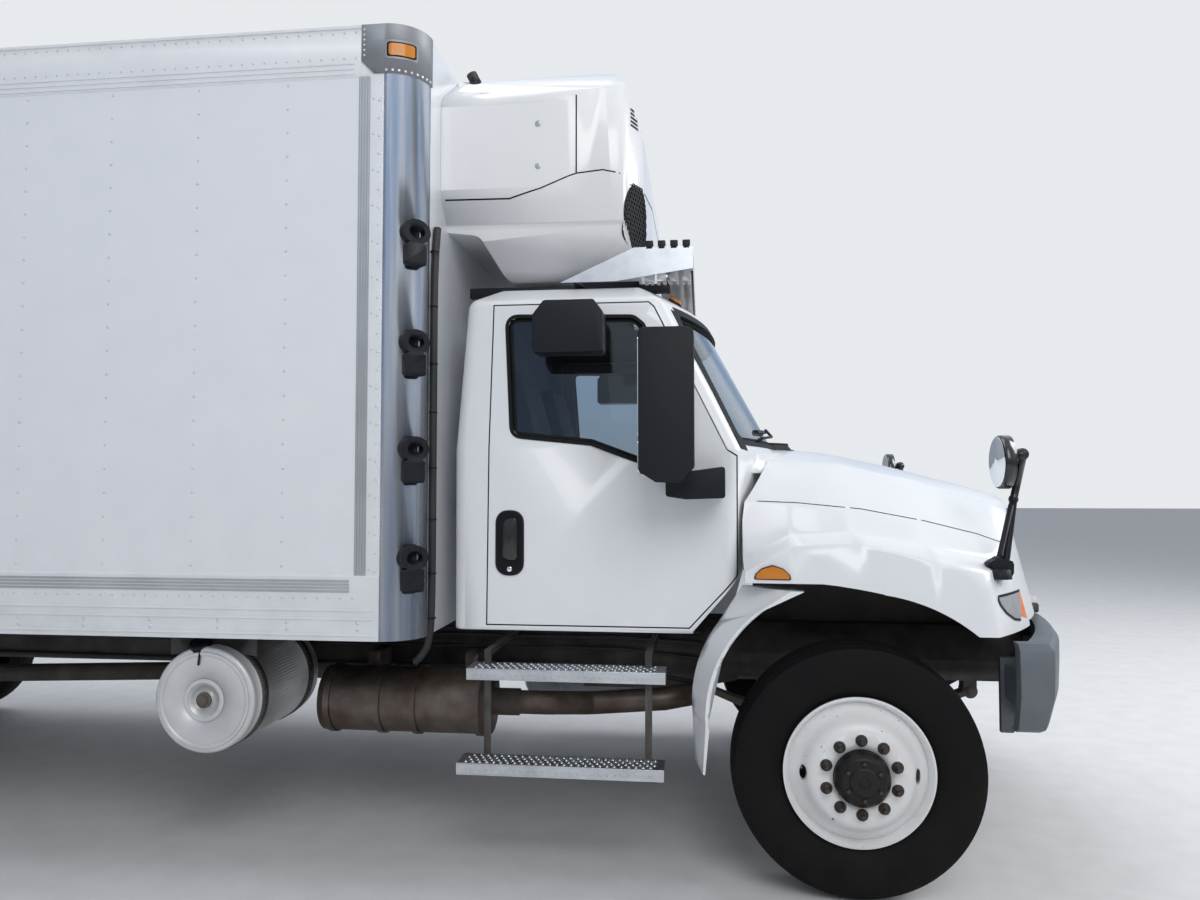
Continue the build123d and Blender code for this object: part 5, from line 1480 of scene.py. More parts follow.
    def wrap(self, side: int, start: float, end: float, low: float, high: float, outer: float) -> Form:
        """Returns a curved plate round a corner cap.

        Args:
            side: -1 for the right post and 1 for the left.
            start: Where it starts, in degrees from the side towards the front.
            end: Where it ends.
            low: Its lower edge.
            high: Its upper edge.
            outer: How far its face is outside the post.

        Returns:
            The plate.
        """
        form = Form()
        steps = 14
        rings = []
        for k in range(steps + 1):
            degrees = start + (end - start) * k / steps
            (ix, iy), _ = self.on_corner(side, degrees, self.cap_face - 0.003)
            (ox, oy), _ = self.on_corner(side, degrees, outer)
            shrink = 0.006 if k in (0, steps) else 0.0
            rings.append([form.mesh.verts.new(p) for p in ((ix, iy, low), (ox, oy, low + shrink),
                                                           (ox, oy, high - shrink), (ix, iy, high))])
        for first, second in zip(rings, rings[1:]):
            for n in range(4):
                m = (n + 1) % 4
                form.mesh.faces.new((first[n], first[m], second[m], second[n]))
        form.mesh.faces.new(rings[0])
        form.mesh.faces.new(list(reversed(rings[-1])))
        return form


@dataclass(frozen=True)
class CoolingUnit:
    """The nose-mounted cooling unit's cover, seams, fasteners and grilles."""

    seam_width: float = 0.006
    seam_lift: float = 0.0008
    outside: float = 1.6
    hex_pitch: float = 0.024
    hex_half_width: float = 0.105
    hex_half_height: float = 0.155

    def build(self) -> None:
        """Dresses the unit."""
        pipe = Zone(Surface.HUB_BLACK, lambda p, n: p.z > 3.49 and abs(p.y + 0.7) < 0.06 and p.x < st(-1.60)
                    and (p.z > 3.54 or abs(n.z) < 0.3))
        dressed("cooling_unit", Surface.UNIT_WHITE, "unit_white", (pipe,), 28)
        skin = Skin("cooling_unit")
        for word, side in SIDES.items():
            self.seams(skin, word, side)
            self.fasteners(skin, word, side)
            self.honeycomb(skin, word, side)
        self.top_vent(skin)

    def seams(self, skin: Skin, word: str, side: int) -> None:
        """Lays the cover's seams on one side.

        Args:
            skin: The cover's surface.
            word: The side's name.
            side: -1 for the right and 1 for the left.
        """
        out, inward = side * self.outside, (0, -side, 0)
        lower = [(-1.765, 2.936), (-1.468, 2.933), (-1.324, 2.971), (-1.160, 3.036), (-1.051, 3.061),
                 (-0.975, 3.053)]
        upright = [(-1.165, 3.036), (-1.165, 3.39)]
        form = Form()
        for line, step in ((lower, 0.03), (upright, 0.04)):
            route = dense([(st(x), out, z) for x, z in line], step)
            form.absorb(skin.strip(route, inward, self.seam_width, self.seam_lift))
        front = [(4.0, side * y, 3.020) for y in (0.88, 0.80, 0.70, 0.55, 0.40, 0.25, 0.10, 0.0)]
        form.absorb(skin.strip(dense(front, 0.05), (-1, 0, 0), self.seam_width, self.seam_lift))
        form.piece(f"unit_seams_{word}", Surface.SEAL, "chassis", "black_plastic", angle=60)

    def fasteners(self, skin: Skin, word: str, side: int) -> None:
        """Adds the cover's round catches.

        Args:
            skin: The cover's surface.
            word: The side's name.
            side: -1 for the right and 1 for the left.
        """
        starts = [(st(-1.336), side * self.outside, z) for z in (3.264, 3.071)]
        places = [tuple(skin.hit(start, (0, -side, 0))[0]) for start in starts]
        knob = turned((0, side, 0), [(-0.004, 0.0), (-0.004, 0.014), (0.002, 0.014), (0.003, 0.012),
                                     (0.003, 0.004), (0.001, 0.003), (0.001, 0.0)], 20)
        COPIES.spread(f"unit_catches_{word}", knob, places, Surface.TRIM_GREY, "chassis", "aluminium")

    def honeycomb(self, skin: Skin, word: str, side: int) -> None:
        """Adds the dark honeycomb on the lower front corner.

        Args:
            skin: The cover's surface.
            word: The side's name.
            side: -1 for the right and 1 for the left.
        """
        direction = Vector((-0.80, -side * 0.60, 0.0)).normalized()
        across = Vector((0, 0, 1)).cross(direction).normalized()
        middle = Vector((st(-0.885), side * 0.80, 2.875))
        rows, columns, reach, margin = 15, 9, 0.150, 0.012
        form = Form()
        grid = []
        for i in range(rows + 1):
            v = -reach + 2 * reach * i / rows
            half = self.half_width(v) + margin
            line = []
            for j in range(columns + 1):
                u = -half + 2 * half * j / columns
                place, normal = skin.hit(middle + across * u + Vector((0, 0, v)) - direction * 0.6, direction)
                line.append(form.mesh.verts.new(place + normal * 0.0012))
            grid.append(line)
        for low, high in zip(grid, grid[1:]):
            for j in range(columns):
                form.mesh.faces.new((low[j], low[j + 1], high[j + 1], high[j]))
        form.piece(f"unit_grille_back_{word}", Surface.SEAL, "chassis", "black_plastic")
        places, turns = [], []
        for i in range(-7, 8):
            v = i * self.hex_pitch * 0.866
            for j in range(-6, 7):
                u = (j + 0.5 * (i % 2)) * self.hex_pitch
                if abs(u) > self.half_width(v):
                    continue
                place, normal = skin.hit(middle + across * u + Vector((0, 0, v)) - direction * 0.6, direction)
                places.append(tuple(place + normal * 0.001))
                turns.append(tuple(normal.to_track_quat("Z", "Y").to_euler()))
        cell = turned((0, 0, 1), [(0.0, 0.0138), (0.004, 0.0138), (0.004, 0.0108), (0.0, 0.0108)], 6)
        COPIES.spread(f"unit_honeycomb_{word}", cell, places, Surface.MOULDED, "chassis", "black_plastic",
                      turns)

    def half_width(self, height: float) -> float:
        """Returns half the honeycomb's width at a height from its middle."""
        return self.hex_half_width * math.sqrt(max(0.0, 1 - (height / self.hex_half_height) ** 2))

    def top_vent(self, skin: Skin) -> None:
        """Adds the slotted vents high on the front.

        Args:
            skin: The cover's surface.
        """
        for word, side in SIDES.items():
            form = Form()
            for k in range(5):
                z = 3.30 + 0.018 * k
                route = [(st(-0.5), side * y, z) for y in (0.62, 0.70, 0.78, 0.84)]
                form.absorb(skin.strip(dense(route, 0.04), (-1, 0, 0), 0.010, 0.001))
            form.piece(f"unit_vents_{word}", Surface.SEAL, "chassis", "black_plastic", angle=60)


@dataclass(frozen=True)
class RoofGuard:
    """The aluminium deflector between the cab's roof and the cooling unit."""

    bar_low: float = 2.602
    end_plate: float = 0.80

    def build(self) -> None:
        """Dresses the guard and adds its ribs, end caps and the roof's rails."""
        below = Zone(Surface.CHASSIS_BLACK, lambda p, n: p.z <= self.bar_low and abs(p.y) <= self.end_plate)
        dressed("roof_guard", Surface.ALUMINIUM, "aluminium", (below,), 30)
        for word, side in SIDES.items():
            ribs = Form()
            for k in range(8):
                x = st(-0.868) + 0.0275 * k
                ribs.add_block((x, side * 0.838, 2.552), (x + 0.016, side * 0.872, 2.690), 0.002)
            ribs.piece(f"guard_ribs_{word}", Surface.ALUMINIUM, "chassis", "aluminium")
            caps = Form()
            for k in range(4):
                x = st(-0.862) + 0.055 * k
                caps.add_block((x, side * 0.862, 2.700), (x + 0.034, side * 0.904, 2.742), 0.004)
            caps.piece(f"guard_caps_{word}", Surface.MOULDED, "chassis", "black_plastic")
            rails = Form()
            for rear, front, top in ((-1.713, -1.180, 2.586), (-1.180, -0.902, 2.600)):
                rails.add_block((st(rear), side * 0.690, 2.538), (st(front), side * 0.735, top), 0.005)
            rails.piece(f"roof_rails_{word}", Surface.MOULDED, "chassis", "black_plastic")


@dataclass(frozen=True)
class Cab:
    """The cab's skins, gaskets, handles, wipers and roof lamps."""

    window: tuple[Flat, ...] = ((-1.434, 1.867), (-1.089, 1.832), (-0.877, 1.752), (-0.690, 1.690),
                                (-0.672, 1.850), (-0.872, 2.345), (-0.912, 2.378), (-1.467, 2.390))
    windshield: tuple[Flat, ...] = ((-0.955, 1.838), (0.955, 1.838), (0.880, 2.408), (-0.880, 2.408))
    rear_window: tuple[Flat, ...] = ((-0.420, 1.880), (0.420, 1.880), (0.400, 2.250), (-0.400, 2.250))
    handle_x: float = -1.446
    handle_half: float = 0.063
    handle_low: float = 1.255
    handle_high: float = 1.538
    ahead: float = 0.3
    beside: float = 1.5
    seat_front: float = -0.86

    def build(self) -> None:
        """Dresses the cab."""
        middle = Vector((st(-1.15), 0, 1.75))
        inside = Zone(Surface.TRIM_INSIDE, lambda p, n: n.dot(p - middle) < -0.12)
        dressed("cab_shell", Surface.CAB_PAINT, "paint_white", (inside,), 28)
        for word in SIDES:
            dressed(f"door_{word}", Surface.CAB_PAINT, "paint_white", (inside,), 28)
            dressed(f"door_glass_{word}", Surface.WINDOW, "glass")
        dressed("cab_glass", Surface.WINDOW, "glass")
        self.interior()
        self.gaskets()
        self.handles()
        self.wipers()
        self.roof_lamps()
        self.side_markers()

    def interior(self) -> None:
        """Dresses the seats, the dash and the steering wheel."""
        dash = Zone(Surface.DASH, lambda p, n: p.x >= st(self.seat_front) and not self.on_wheel(p, n))
        dressed("cab_interior", Surface.FABRIC, "interior", (dash, Zone(Surface.MOULDED, self.on_wheel)), 30)

    def on_wheel(self, p: Vector, _: Vector) -> bool:
        """Tells whether a point is on the steering wheel or its column."""
        return st(-1.02) < p.x < st(-0.74) and 1.60 < p.z < 1.95 and 0.20 < p.y < 0.72

    def gaskets(self) -> None:
        """Lays the black rubber round the windows; the band over the windshield is partly rubber and partly
        painted shade.
        """
        for word, side in SIDES.items():
            skin = Skin(f"door_{word}", f"door_glass_{word}")
            outline = [(st(x), side * self.beside, z) for x, z in softened(self.window, 0.045)]
            skin.strip(dense(outline, 0.02, True), (0, -side, 0), 0.030, 0.003, True).piece(
                f"window_gasket_{word}", Surface.SEAL, f"door_{word}", "black_plastic")
        skin = Skin("cab_shell", "cab_glass")
        front, back = st(self.ahead), (-1, 0, 0)
        route = dense([(front, y, z) for y, z in softened(self.windshield, 0.045)], 0.03, True)
        skin.strip(route, back, 0.036, 0.004, True).piece(
            "windshield_gasket", Surface.SEAL, "chassis", "black_plastic")
        edges = Form()
        for side in SIDES.values():
            line = [(front, side * y, z) for y, z in ((0.972, 1.800), (0.940, 2.050), (0.893, 2.420))]
            edges.absorb(skin.strip(dense(line, 0.03), back, 0.062, 0.0035))
            pillar = ((-0.692, 2.350), (-0.602, 2.160), (-0.522, 1.985), (-0.450, 1.822))
            line = [(st(x) + 0.45, side * 1.35, z) for x, z in pillar]
            edges.absorb(skin.strip(dense(line, 0.03), (-0.75, -side * 0.66, 0), 0.042, 0.003))
        # The black band along the windshield's top is partly the gasket and partly painted shade
        top = [(front, y, 2.425) for y in (-0.89, 0.89)]
        edges.absorb(skin.strip(dense(top, 0.04), back, 0.034, 0.0035))
        edges.piece("windshield_edges", Surface.SEAL, "chassis", "black_plastic", angle=50)
        route = dense([(st(-1.78), y, z) for y, z in softened(self.rear_window, 0.04)], 0.03, True)
        skin.strip(route, (1, 0, 0), 0.030, 0.003, True).piece(
            "rear_window_gasket", Surface.SEAL, "chassis", "black_plastic")

    def handles(self) -> None:
        """Adds the doors' recessed handles."""
        low, high, x = self.handle_low, self.handle_high, self.handle_x

        def oval(inset: float) -> list[Flat]:
            """Returns the handle's outline, drawn in by an inset."""
            half = self.handle_half - inset
            return softened([(x - half, low + inset), (x + half, low + inset), (x + half, high - inset),
                             (x - half, high - inset)], half * 0.98, 10)

        for word, side in SIDES.items():
            body, slot = f"door_{word}", "black_plastic"
            place, _ = Skin(body).hit((st(x), side * self.beside, (low + high) / 2), (0, -side, 0))
            face, seat = side * place.y, on_side(side)
            Form().add_prism(oval(0.0), seat, face - 0.012, face + 0.0045, 0.003).piece(
                f"handle_frame_{word}", Surface.MOULDED, body, slot)
            Form().add_prism(oval(0.0075), seat, face + 0.002, face + 0.0050, 0.0).piece(
                f"handle_cup_{word}", Surface.SEAL, body, slot)
            grip = softened([(x - 0.030, low + 0.075), (x + 0.036, low + 0.062), (x + 0.034, high - 0.028),
                             (x - 0.024, high - 0.040)], 0.024, 6)
            Form().add_prism(grip, seat, face + 0.003, face + 0.016, 0.005).piece(
                f"handle_grip_{word}", Surface.GLOSS_BLACK, body, slot)
            lock = [(0.0, 0.0), (0.0, 0.011), (0.004, 0.011), (0.005, 0.009), (0.005, 0.0)]
            Form().add_lathe((st(x), side * (face + 0.004), low + 0.028), (0, side, 0), lock, 24).piece(
                f"handle_lock_{word}", Surface.CHROME, body, "polished_steel")

    def wipers(self) -> None:
        """Adds two parked wipers on the windshield."""
        skin = Skin("cab_shell", "cab_glass")
        front, back = st(self.ahead), (-1, 0, 0)
        for word, base, tip in (("right", -0.70, -0.06), ("left", 0.02, 0.66)):
            middle = (base + tip) / 2
            shares = (0.0, 0.2, 0.4, 0.6, 0.8, 1.0)
            blade = [(front, base + (tip - base) * t + 0.10, 1.900 + 0.030 * t) for t in shares]
            form = skin.strip(dense(blade, 0.03), back, 0.014, 0.020)
            start, _ = skin.hit((front, base, 1.845), back)
            elbow, lift = skin.hit((front, middle + 0.02, 1.870), back)
            end, _ = skin.hit((front, middle + 0.10, 1.915), back)
            arm = [start + lift * 0.01, start + lift * 0.035, elbow + lift * 0.035, end + lift * 0.022]
            form.add_tube(arm, 0.007, 8)
            form.piece(f"wiper_{word}", Surface.MOULDED, "chassis", "black_plastic", angle=50)

    def roof_lamps(self) -> None:
        """Adds the five amber lamps along the roof's front edge."""
        skin = Skin("cab_shell")
        lens, base = Form(), Form()
        for y in (-0.70, -0.28, 0.0, 0.28, 0.70):
            middle, normal = skin.hit((st(-0.735), y, 3.0), (0, 0, -1))

            def on_roof(u: float, v: float, w: float) -> Point:
                """Returns a point over the sloping roof."""
                return middle.x + v, y + u, middle.z + w - v * normal.x / normal.z

            # Half widths at the front and the rear, half depth, corner radius, low and high sides, bevel
            for form, wide, narrow, half, corner, low, high, bevel in (
                    (base, 0.062, 0.046, 0.030, 0.018, -0.010, 0.003, 0.002),
                    (lens, 0.058, 0.043, 0.027, 0.017, 0.001, 0.020, 0.008)):
                outline = [(-wide, -half), (wide, -half), (narrow, half), (-narrow, half)]
                form.add_prism(softened(outline, corner), on_roof, low, high, bevel)
        base.piece("roof_lamp_bases", Surface.MOULDED, "chassis", "black_plastic")
        lens.piece("roof_lamp_lenses", Surface.AMBER, "chassis", "lamp_lens")

    def side_markers(self) -> None:
        """Adds the amber half-moon lamps on the fenders."""
        half_moon = [(-0.412, 1.266), (-0.258, 1.266), (-0.268, 1.290), (-0.292, 1.312), (-0.335, 1.326),
                     (-0.378, 1.312), (-0.402, 1.290)]
        middle, rear, height = -0.335, -0.400, 1.295
        outline = softened(half_moon, 0.012, 3)
        inner = [(middle + (u - middle) * 0.93, 1.294 + (v - 1.294) * 0.86) for u, v in outline]
        skin = Skin("hood")
        for word, side in SIDES.items():
            face, back = (side * skin.hit((st(x), side * self.beside, height), (0, -side, 0))[0].y
                          for x in (middle, rear))
            slope = (back - face) / (rear - middle)

            def on_fender(u: float, v: float, w: float) -> Point:
                """Returns a point beside the sloping fender."""
                return st(u), side * (w + slope * (u - middle)), v

            Form().add_prism(outline, on_fender, face - 0.02, face + 0.006, 0.002).piece(
                f"marker_base_{word}", Surface.MOULDED, "hood", "black_plastic")
            Form().add_prism(inner, on_fender, face + 0.002, face + 0.013, 0.004).piece(
                f"marker_lens_{word}", Surface.AMBER, "hood", "lamp_lens")


@dataclass(frozen=True)
class Hood:
    """The hood, its grille and headlamps, and the fenders."""

    arch_radius: float = 0.715
    fender_split: float = 1.252

    def build(self) -> None:
        """Dresses the hood and what it carries."""
        middle = Vector((st(0.2), 0, 1.0))
        inner = Zone(Surface.HOOD_INSIDE, lambda p, n: n.dot(p - middle) < 0 and abs(p.y) < 1.17)
        dressed("hood", Surface.CAB_PAINT, "paint_white", (inner,), 28)
        liner = Zone(Surface.LINER, lambda p, n: abs(p.y) <= 1.03 or n.x >= 0.75)
        dressed("quarter_fenders", Surface.CAB_PAINT, "paint_white", (liner,), 30)
        dressed("grille", Surface.GLOSS_BLACK, "grille")
        plate = Zone(Surface.PLATE_BLUE, lambda p, n: p.x <= st(0.66) and abs(p.y) <= 1.02)
        dressed("bumper", Surface.BUMPER, "bumper_grey", (plate,), 40, 0.016)
        self.headlamps()
        self.crease_lines()
        self.arch_slivers()

    def headlamps(self) -> None:
        """Dresses the headlamps: a bright bowl with an amber corner and a black rim."""
        amber = Zone(Surface.AMBER_FACE, lambda p, n: p.x >= st(0.66) and p.z <= 1.175)
        dressed("headlamps", Surface.LAMP_FACE, "headlamp", (amber,), 30)
        skin = Skin("hood", "headlamps")
        rim = [(0.712, 1.204), (0.552, 1.206), (0.549, 1.192), (0.560, 1.170), (0.590, 1.138), (0.640, 1.106),
               (0.684, 1.094)]
        bowl = [(0.700, 1.202), (0.620, 1.203), *rim[1:], (0.694, 1.120), (0.698, 1.160)]
        for word, side in SIDES.items():
            around, along = ([(st(x), side * 1.5, z) for x, z in line] for line in (bowl, rim))
            skin.patch(around, (0, -side, 0), 0.002).piece(
                f"headlamp_bowl_{word}", Surface.LAMP_FACE, "hood", "headlamp", angle=60)
            skin.strip(dense(along, 0.02), (0, -side, 0), 0.009, 0.005).piece(
                f"headlamp_rim_{word}", Surface.SEAL, "hood", "black_plastic", angle=60)

    def arch_slivers(self) -> None:
        """Adds the sloping lip between the fender's lower edge and the wheel arch."""
        skin = Skin("hood")
        low, edge = AXLE_HEIGHT + math.sqrt(self.arch_radius ** 2 - 0.1 ** 2), self.fender_split
        for word, side in SIDES.items():
            place, _ = skin.hit((st(0.05), side * 1.5, edge + 0.012), (0, -side, 0))
            face = side * place.y
            sliver = [(-0.16, edge + 0.003), (0.103, edge + 0.003), (0.103, low + 0.001),
                      (0.060, low + 0.010), (0.0, low + 0.021), (-0.08, low + 0.033)]
            Form().add_prism(sliver, on_side(side), face - 0.022, face - 0.0015).piece(
                f"arch_lip_{word}", Surface.CAB_PAINT, "hood", "paint_white")

    def crease_lines(self) -> None:
        """Lays the split line between the hood's top and its fenders."""
        skin = Skin("hood")
        line = ((-0.380, 1.579), (-0.211, 1.572), (0.058, 1.546), (0.322, 1.496), (0.548, 1.440),
                (0.668, 1.397))
        for word, side in SIDES.items():
            route = [(st(x), side * 1.4, z) for x, z in line]
            form = skin.strip(dense(route, 0.04), (0, -side, 0), 0.0035, 0.0006)
            form.piece(f"hood_split_{word}", Surface.SEAL, "hood", "black_plastic", angle=60)


@dataclass(frozen=True)
class Mirrors:
    """The door mirrors and the hood mirrors."""

    head_low: float = 1.64
    foot: tuple[Flat, ...] = ((0.512, 1.330), (0.560, 1.359), (0.580, 1.363), (0.618, 1.336), (0.616, 1.288),
                              (0.590, 1.286))

    def build(self) -> None:
        """Dresses the mirrors: black housings with glass that faces back."""
        for word in SIDES:
            dressed(f"door_mirrors_{word}", Surface.MOULDED, "black_plastic", (), 40, 0.030)
            self.glass(word)
        head = Zone(Surface.GLOSS_BLACK, lambda p, n: p.z > self.head_low and not self.on_glass(p, n))
        arm = Zone(Surface.MOULDED, lambda p, n: p.z <= self.head_low)
        dressed("hood_mirrors", Surface.MIRROR, "black_plastic", (head, arm), 30)
        foot = softened(self.foot, 0.010, 4)
        for word, side in SIDES.items():
            Form().add_prism(foot, on_side(side), 1.055, 1.115, 0.012).piece(
                f"hood_mirror_foot_{word}", Surface.MOULDED, "hood", "black_plastic", angle=50)

    def on_glass(self, p: Vector, n: Vector) -> bool:
        """Tells whether a face is a hood mirror's glass."""
        return n.x < -0.9 and p.z > self.head_low and p.x < st(0.58)

    def glass(self, word: str) -> None:
        """Adds the tall housing's two glasses.

        Args:
            word: The side's name.
        """
        def behind(out: float, height: float, station: float) -> Point:
            """Returns a point of a prism that faces back."""
            return st(station), SIDES[word] * out, height

        for name, low, high in (("main", 1.835, 2.220), ("wide", 1.690, 1.818)):
            outline = softened([(1.232, low), (1.438, low), (1.438, high), (1.232, high)], 0.020)
            Form().add_prism(outline, behind, -0.8605, -0.850, 0.001).piece(
                f"mirror_{name}_{word}", Surface.MIRROR, f"door_{word}", "glass")


@dataclass(frozen=True)
class Steps:
    """The cab's grip steps."""

    # Height of the top, rear and front stations, |Y| of the edge
    tops: tuple[tuple[float, float, float, float], ...] = ((0.866, -1.619, -0.770, 1.100),
                                                           (0.482, -1.647, -0.775, 1.150))
    depth: float = 0.138
    pitch: float = 0.030
    rows: tuple[float, ...] = (0.022, 0.052, 0.082, 0.112)

    def build(self) -> None:
        """Dresses the steps and adds their grips."""
        between = Zone(Surface.CHASSIS_BLACK, lambda p, n: not self.on_tread(p))
        dressed("cab_steps", Surface.ALUMINIUM, "aluminium", (between,))
        grip = [(-0.001, 0.0), (-0.001, 0.0105), (0.0022, 0.0085), (0.0026, 0.0062), (0.0008, 0.0045),
                (0.0008, 0.0)]
        dimple = [(-0.001, 0.0), (-0.001, 0.0085), (0.0016, 0.0075), (0.0016, 0.0058), (0.0002, 0.0050),
                  (0.0002, 0.0)]
        for word, side in SIDES.items():
            grips, holes = [], []
            ribs = Form()
            for top, rear, front, out in self.tops:
                for k in range(int((front - rear - 0.06) / self.pitch)):
                    x = st(rear + 0.036 + self.pitch * k)
                    for j, y in enumerate(self.rows):
                        grips.append((x + self.pitch / 2 * (j % 2), side * (out - y), top))
                    holes.append((x, side * out, top - 0.030))
                for low in (top - 0.007, top - 0.047):
                    ribs.add_block((st(rear), side * out, low),
                                   (st(front), side * (out + 0.002), low + 0.005), 0.0008)
            COPIES.spread(f"step_grips_{word}", turned((0, 0, 1), grip, 14), grips, Surface.ALUMINIUM,
                          "chassis", "aluminium")
            COPIES.spread(f"step_dimples_{word}", turned((0, side, 0), dimple, 12), holes, Surface.ALUMINIUM,
                          "chassis", "aluminium")
            ribs.piece(f"step_ribs_{word}", Surface.ALUMINIUM, "chassis", "aluminium")

    def on_tread(self, p: Vector) -> bool:
        """Tells whether a point is on a tread."""
        return any(top - 0.052 < p.z < top + 0.002 and abs(p.y) > out - self.depth - 0.001
                   for top, _, _, out in self.tops)


@dataclass(frozen=True)
class Tanks:
    """The cooling unit's fuel drum, the main tank and the exhaust canister."""

    drum_x: float = -2.748
    drum_z: float = 0.722
    drum_end: float = 1.200
    strap_starts: Flat = (0.630, 1.080)
    strap_radius: float = 0.2285
    bracket_low: float = 0.955
    clamp_low: float = 0.80

    def build(self) -> None:
        """Dresses the tanks and the exhaust, and adds the drum's fittings."""
        strap = Zone(Surface.CHASSIS_BLACK, lambda p, n: p.z > self.bracket_low or self.in_strap(p))
        dressed("cooler_tank", Surface.TANK_WHITE, "aluminium", (strap,), 30)
        self.drum_end_face()
        bands = Zone(Surface.CAST_IRON, lambda p, n: p.z > self.clamp_low
                     or p.y > -0.56 and p.x < st(-1.6))
        dressed("exhaust", Surface.EXHAUST, "exhaust_steel", (bands,), 18)
        dressed("fuel_tank", Surface.ALUMINIUM, "aluminium", (), 30)

    def in_strap(self, p: Vector) -> bool:
        """Tells whether a point is on one of the drum's straps."""
        outside = math.hypot(p.x - st(self.drum_x), p.z - self.drum_z) > self.strap_radius
        return outside and any(start - 0.001 < -p.y < start + 0.051 for start in self.strap_starts)

    def drum_end_face(self) -> None:
        """Adds the dished end's rim, hub ring, lock and filler cap."""
        x, z, end, out = st(self.drum_x), self.drum_z, self.drum_end, (0, -1, 0)
        rim = [(0.001, 0.206), (0.006, 0.205), (0.008, 0.198), (0.006, 0.192), (0.001, 0.188)]
        hub = [(0.001, 0.092), (0.004, 0.090), (0.006, 0.082), (0.004, 0.074), (0.001, 0.072)]
        face = Form().add_lathe((x, -end, z), out, rim, 96).add_lathe((x, -end, z), out, hub, 64)
        face.piece("drum_rings", Surface.TANK_WHITE, "chassis", "aluminium")
        lock = [(0.0, 0.034), (0.008, 0.034), (0.010, 0.030), (0.010, 0.022), (0.022, 0.020), (0.024, 0.016),
                (0.024, 0.0)]
        Form().add_lathe((x, 0.004 - end, z), out, lock, 40).piece(
            "drum_lock", Surface.CAST_IRON, "chassis", "aluminium")
        cap_x, cap_z = x - 0.040, z + 0.205
        profile = [(0.0, 0.0), (0.0, 0.040), (0.018, 0.042), (0.020, 0.047), (0.044, 0.047), (0.048, 0.042),
                   (0.048, 0.0)]
        cap = Form().add_lathe((cap_x, -1.150, cap_z), (0, -0.5, 0.86), profile, 12)
        chain = [(cap_x + 0.01, -1.185, cap_z + 0.030), (cap_x + 0.02, -1.206, cap_z - 0.01),
                 (cap_x + 0.015, -1.206, cap_z - 0.055)]
        cap.add_tube(chain, 0.005, 8).piece("drum_cap", Surface.MOULDED, "chassis", "black_plastic")


@dataclass(frozen=True)
class Hangers:
    """The hose hangers on the corner post and the hose that runs past them."""

    hose_radius: float = 0.0165
    hose_x: float = -1.7657
    # Control points as (distance behind hose_x, Y, Z)
    route: tuple[Point, ...] = ((0.0, -1.080, 2.775), (0.0, -1.100, 2.70), (0.0, -1.117, 2.56),
                                (0.0, -1.122, 2.40), (0.0, -1.122, 2.10), (0.0, -1.122, 1.60),
                                (0.0, -1.122, 1.20), (0.005, -1.121, 1.02), (0.03, -1.108, 0.93),
                                (0.085, -1.080, 0.885))
    tie_heights: tuple[float, ...] = (2.66, 2.42, 2.17, 1.96, 1.72, 1.50, 1.27, 1.08)

    def build(self) -> None:
        """Dresses the hangers and adds the hose and its ties."""
        dressed("hose_hangers", Surface.MOULDED, "black_plastic", (), 35)
        x = st(self.hose_x)
        self.hose("hose_main", [(x - back, y, z) for back, y, z in self.route], self.hose_radius)
        ring = [(-0.003, 0.0165), (-0.003, 0.0182), (0.003, 0.0182), (0.003, 0.0165)]
        ties = Form()
        for z in self.tie_heights:
            ties.add_lathe((x, -1.1215, z), (0, 0, 1), ring, 20)
            ties.add_block((x - 0.004, -1.148, z - 0.003), (x + 0.004, -1.137, z + 0.003), 0.001)
        ties.piece("hose_ties", Surface.SEAL, "chassis", "black_plastic")

    def hose(self, name: str, route: Sequence[Point], radius: float) -> None:
        """Adds a hose that starts and ends on the truck.

        Args:
            name: Its name.
            route: The control points of its middle line.
            radius: Its radius.
        """
        curve = bpy.data.curves.new(name, "CURVE")
        curve.dimensions = "3D"
        curve.bevel_depth = radius
        curve.bevel_resolution = 5
        curve.use_fill_caps = True
        curve.resolution_u = 16
        line = curve.splines.new("NURBS")
        line.points.add(len(route) - 1)
        for point, place in zip(line.points, route):
            point.co = (*place, 1)
        line.order_u = 3
        line.use_endpoint_u = True
        curve.materials.append(Surface.RUBBER.material())
        made = bpy.data.objects.new(name, curve)
        bpy.context.scene.collection.objects.link(made)
        bpy.context.view_layer.update()
        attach(made, "chassis")
        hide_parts("hose_bundle")
        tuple(route[0])
        self.length(curve)

    def length(self, curve: bpy.types.Curve) -> float:
        """Measures a curve's middle line.

        Args:
            curve: The curve.

        Returns:
            Its length.
        """
        line = curve.copy()
        line.bevel_depth = 0
        probe = bpy.data.objects.new("probe", line)
        bpy.context.scene.collection.objects.link(probe)
        bpy.context.view_layer.update()
        mesh = bpy.data.meshes.new_from_object(probe.evaluated_get(bpy.context.evaluated_depsgraph_get()))
        ends = [[mesh.vertices[index].co for index in edge.vertices] for edge in mesh.edges]
        total = sum((end - start).length for start, end in ends)
        bpy.data.objects.remove(probe)
        bpy.data.curves.remove(line)
        bpy.data.meshes.remove(mesh)
        return total


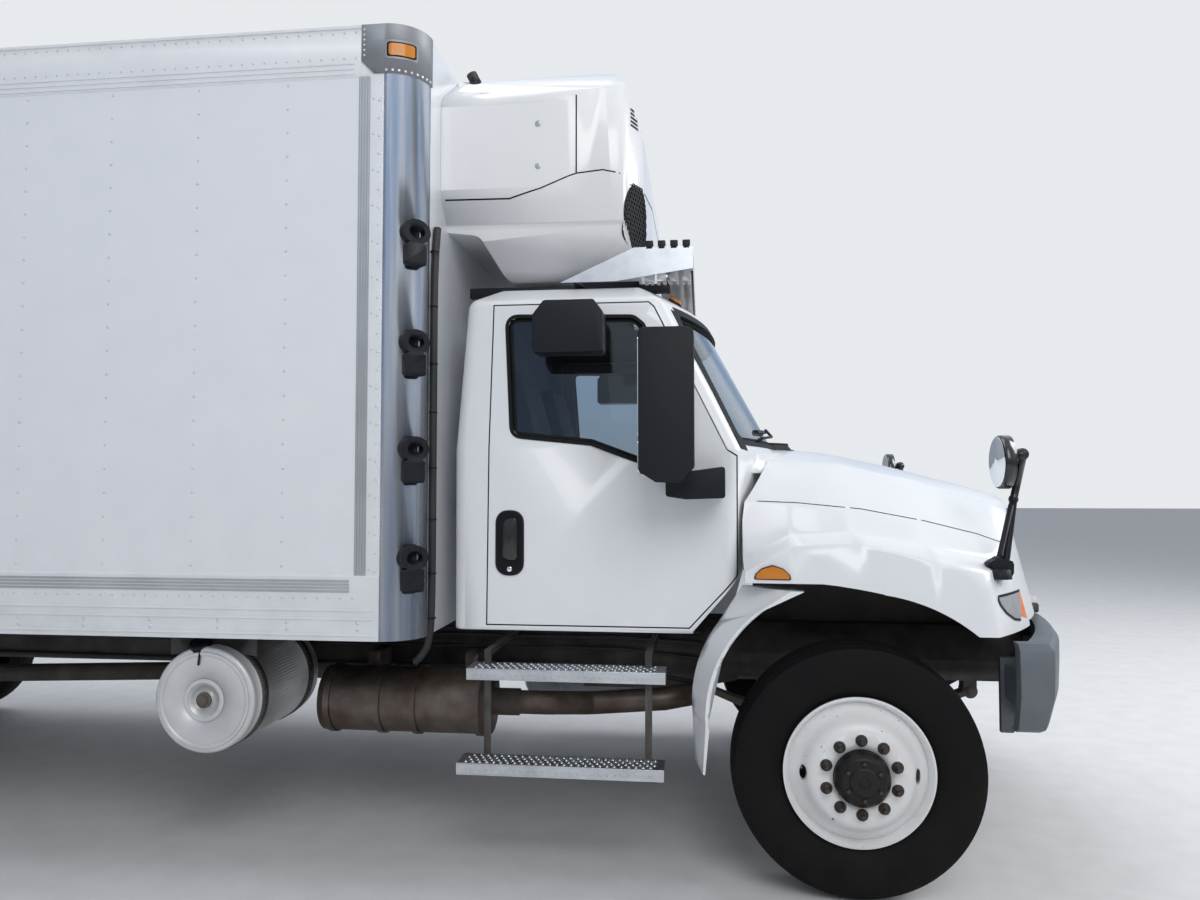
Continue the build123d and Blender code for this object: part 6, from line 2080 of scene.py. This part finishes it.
@dataclass(frozen=True)
class RearEnd:
    """The rear doors, frame, lamps and bumper."""

    frame_depth: float = 0.1005
    block_top: float = 1.22
    tail_lamps: float = -2.5

    def build(self) -> None:
        """Dresses the rear."""
        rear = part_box("box_side_walls")[0].x - self.frame_depth
        latches = Zone(Surface.CHROME, lambda p, n: p.x <= rear - 0.001)
        blocks = Zone(Surface.RUBBER, lambda p, n: p.x <= rear - 0.001 and p.z <= self.block_top)
        for word in SIDES:
            dressed(f"box_door_{word}", Surface.PANEL_WHITE, "panel_white", (latches,), 30)
        dressed("box_rear_frame", Surface.RAIL_WHITE, "panel_white", (blocks,), 30)
        dressed("lamps", Surface.RED, "lamp_lens", (), 30, keep=lambda p: p.x < st(self.tail_lamps))
        dressed("rear_bumper", Surface.CHASSIS_BLACK, "chassis_black", (), 30)
        dressed("mud_flaps", Surface.RUBBER, "flap_rubber", (), 30)


@dataclass(frozen=True)
class Chassis:
    """The ladder frame, the axles, the engine and what hangs between them."""

    iron: tuple[str, ...] = ("front_axle", "rear_axle", "engine", "driveline", "knuckle_left",
                             "knuckle_right")
    black: tuple[str, ...] = ("frame", "tie_rod", "box_floor")

    def build(self) -> None:
        """Dresses the chassis."""
        for node in self.iron:
            dressed(node, Surface.CAST_IRON, "axle_iron")
        for node in self.black:
            dressed(node, Surface.CHASSIS_BLACK, "chassis_black")
        self.air_lines()

    def air_lines(self) -> None:
        """Adds the pipes and the wiring along the right rail."""
        form = Form()
        for k, (y, z) in enumerate(((-0.446, 0.93), (-0.446, 0.905), (-0.447, 0.86), (-0.446, 0.77))):
            route = [(st(-7.6), y, z), (st(-3.0), y, z - 0.01 * k), (st(-1.0), y, z - 0.01 * k),
                     (st(-0.62), y, z - 0.03 * k)]
            form.add_tube(dense(route, 0.4), 0.009 + 0.002 * (k % 2), 10)
        form.piece("air_lines", Surface.RUBBER, "chassis", "flap_rubber")


def write_size(key: str, sizes: dict[str, list[float]]) -> None:
    """Args:
        key: When they were taken.
        sizes: What is already noted, to which they are added.
    """
    low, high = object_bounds()
    sizes[key] = [*low, *high]


def main() -> None:
    """Builds the scene."""
    logging.basicConfig(level=logging.INFO, format="%(name)s: %(message)s")
    sizes: dict[str, list[float]] = {}
    write_size("cad", sizes)
    Studio().build()
    for group in (Wheels(), BoxBody(), CoolingUnit(), RoofGuard(), Cab(), Hood(), Mirrors(), Steps(), Tanks(),
                  Hangers(), RearEnd(), Chassis()):
        group.build()
    write_size("scene", sizes)


if __name__ == "__main__":
    main()
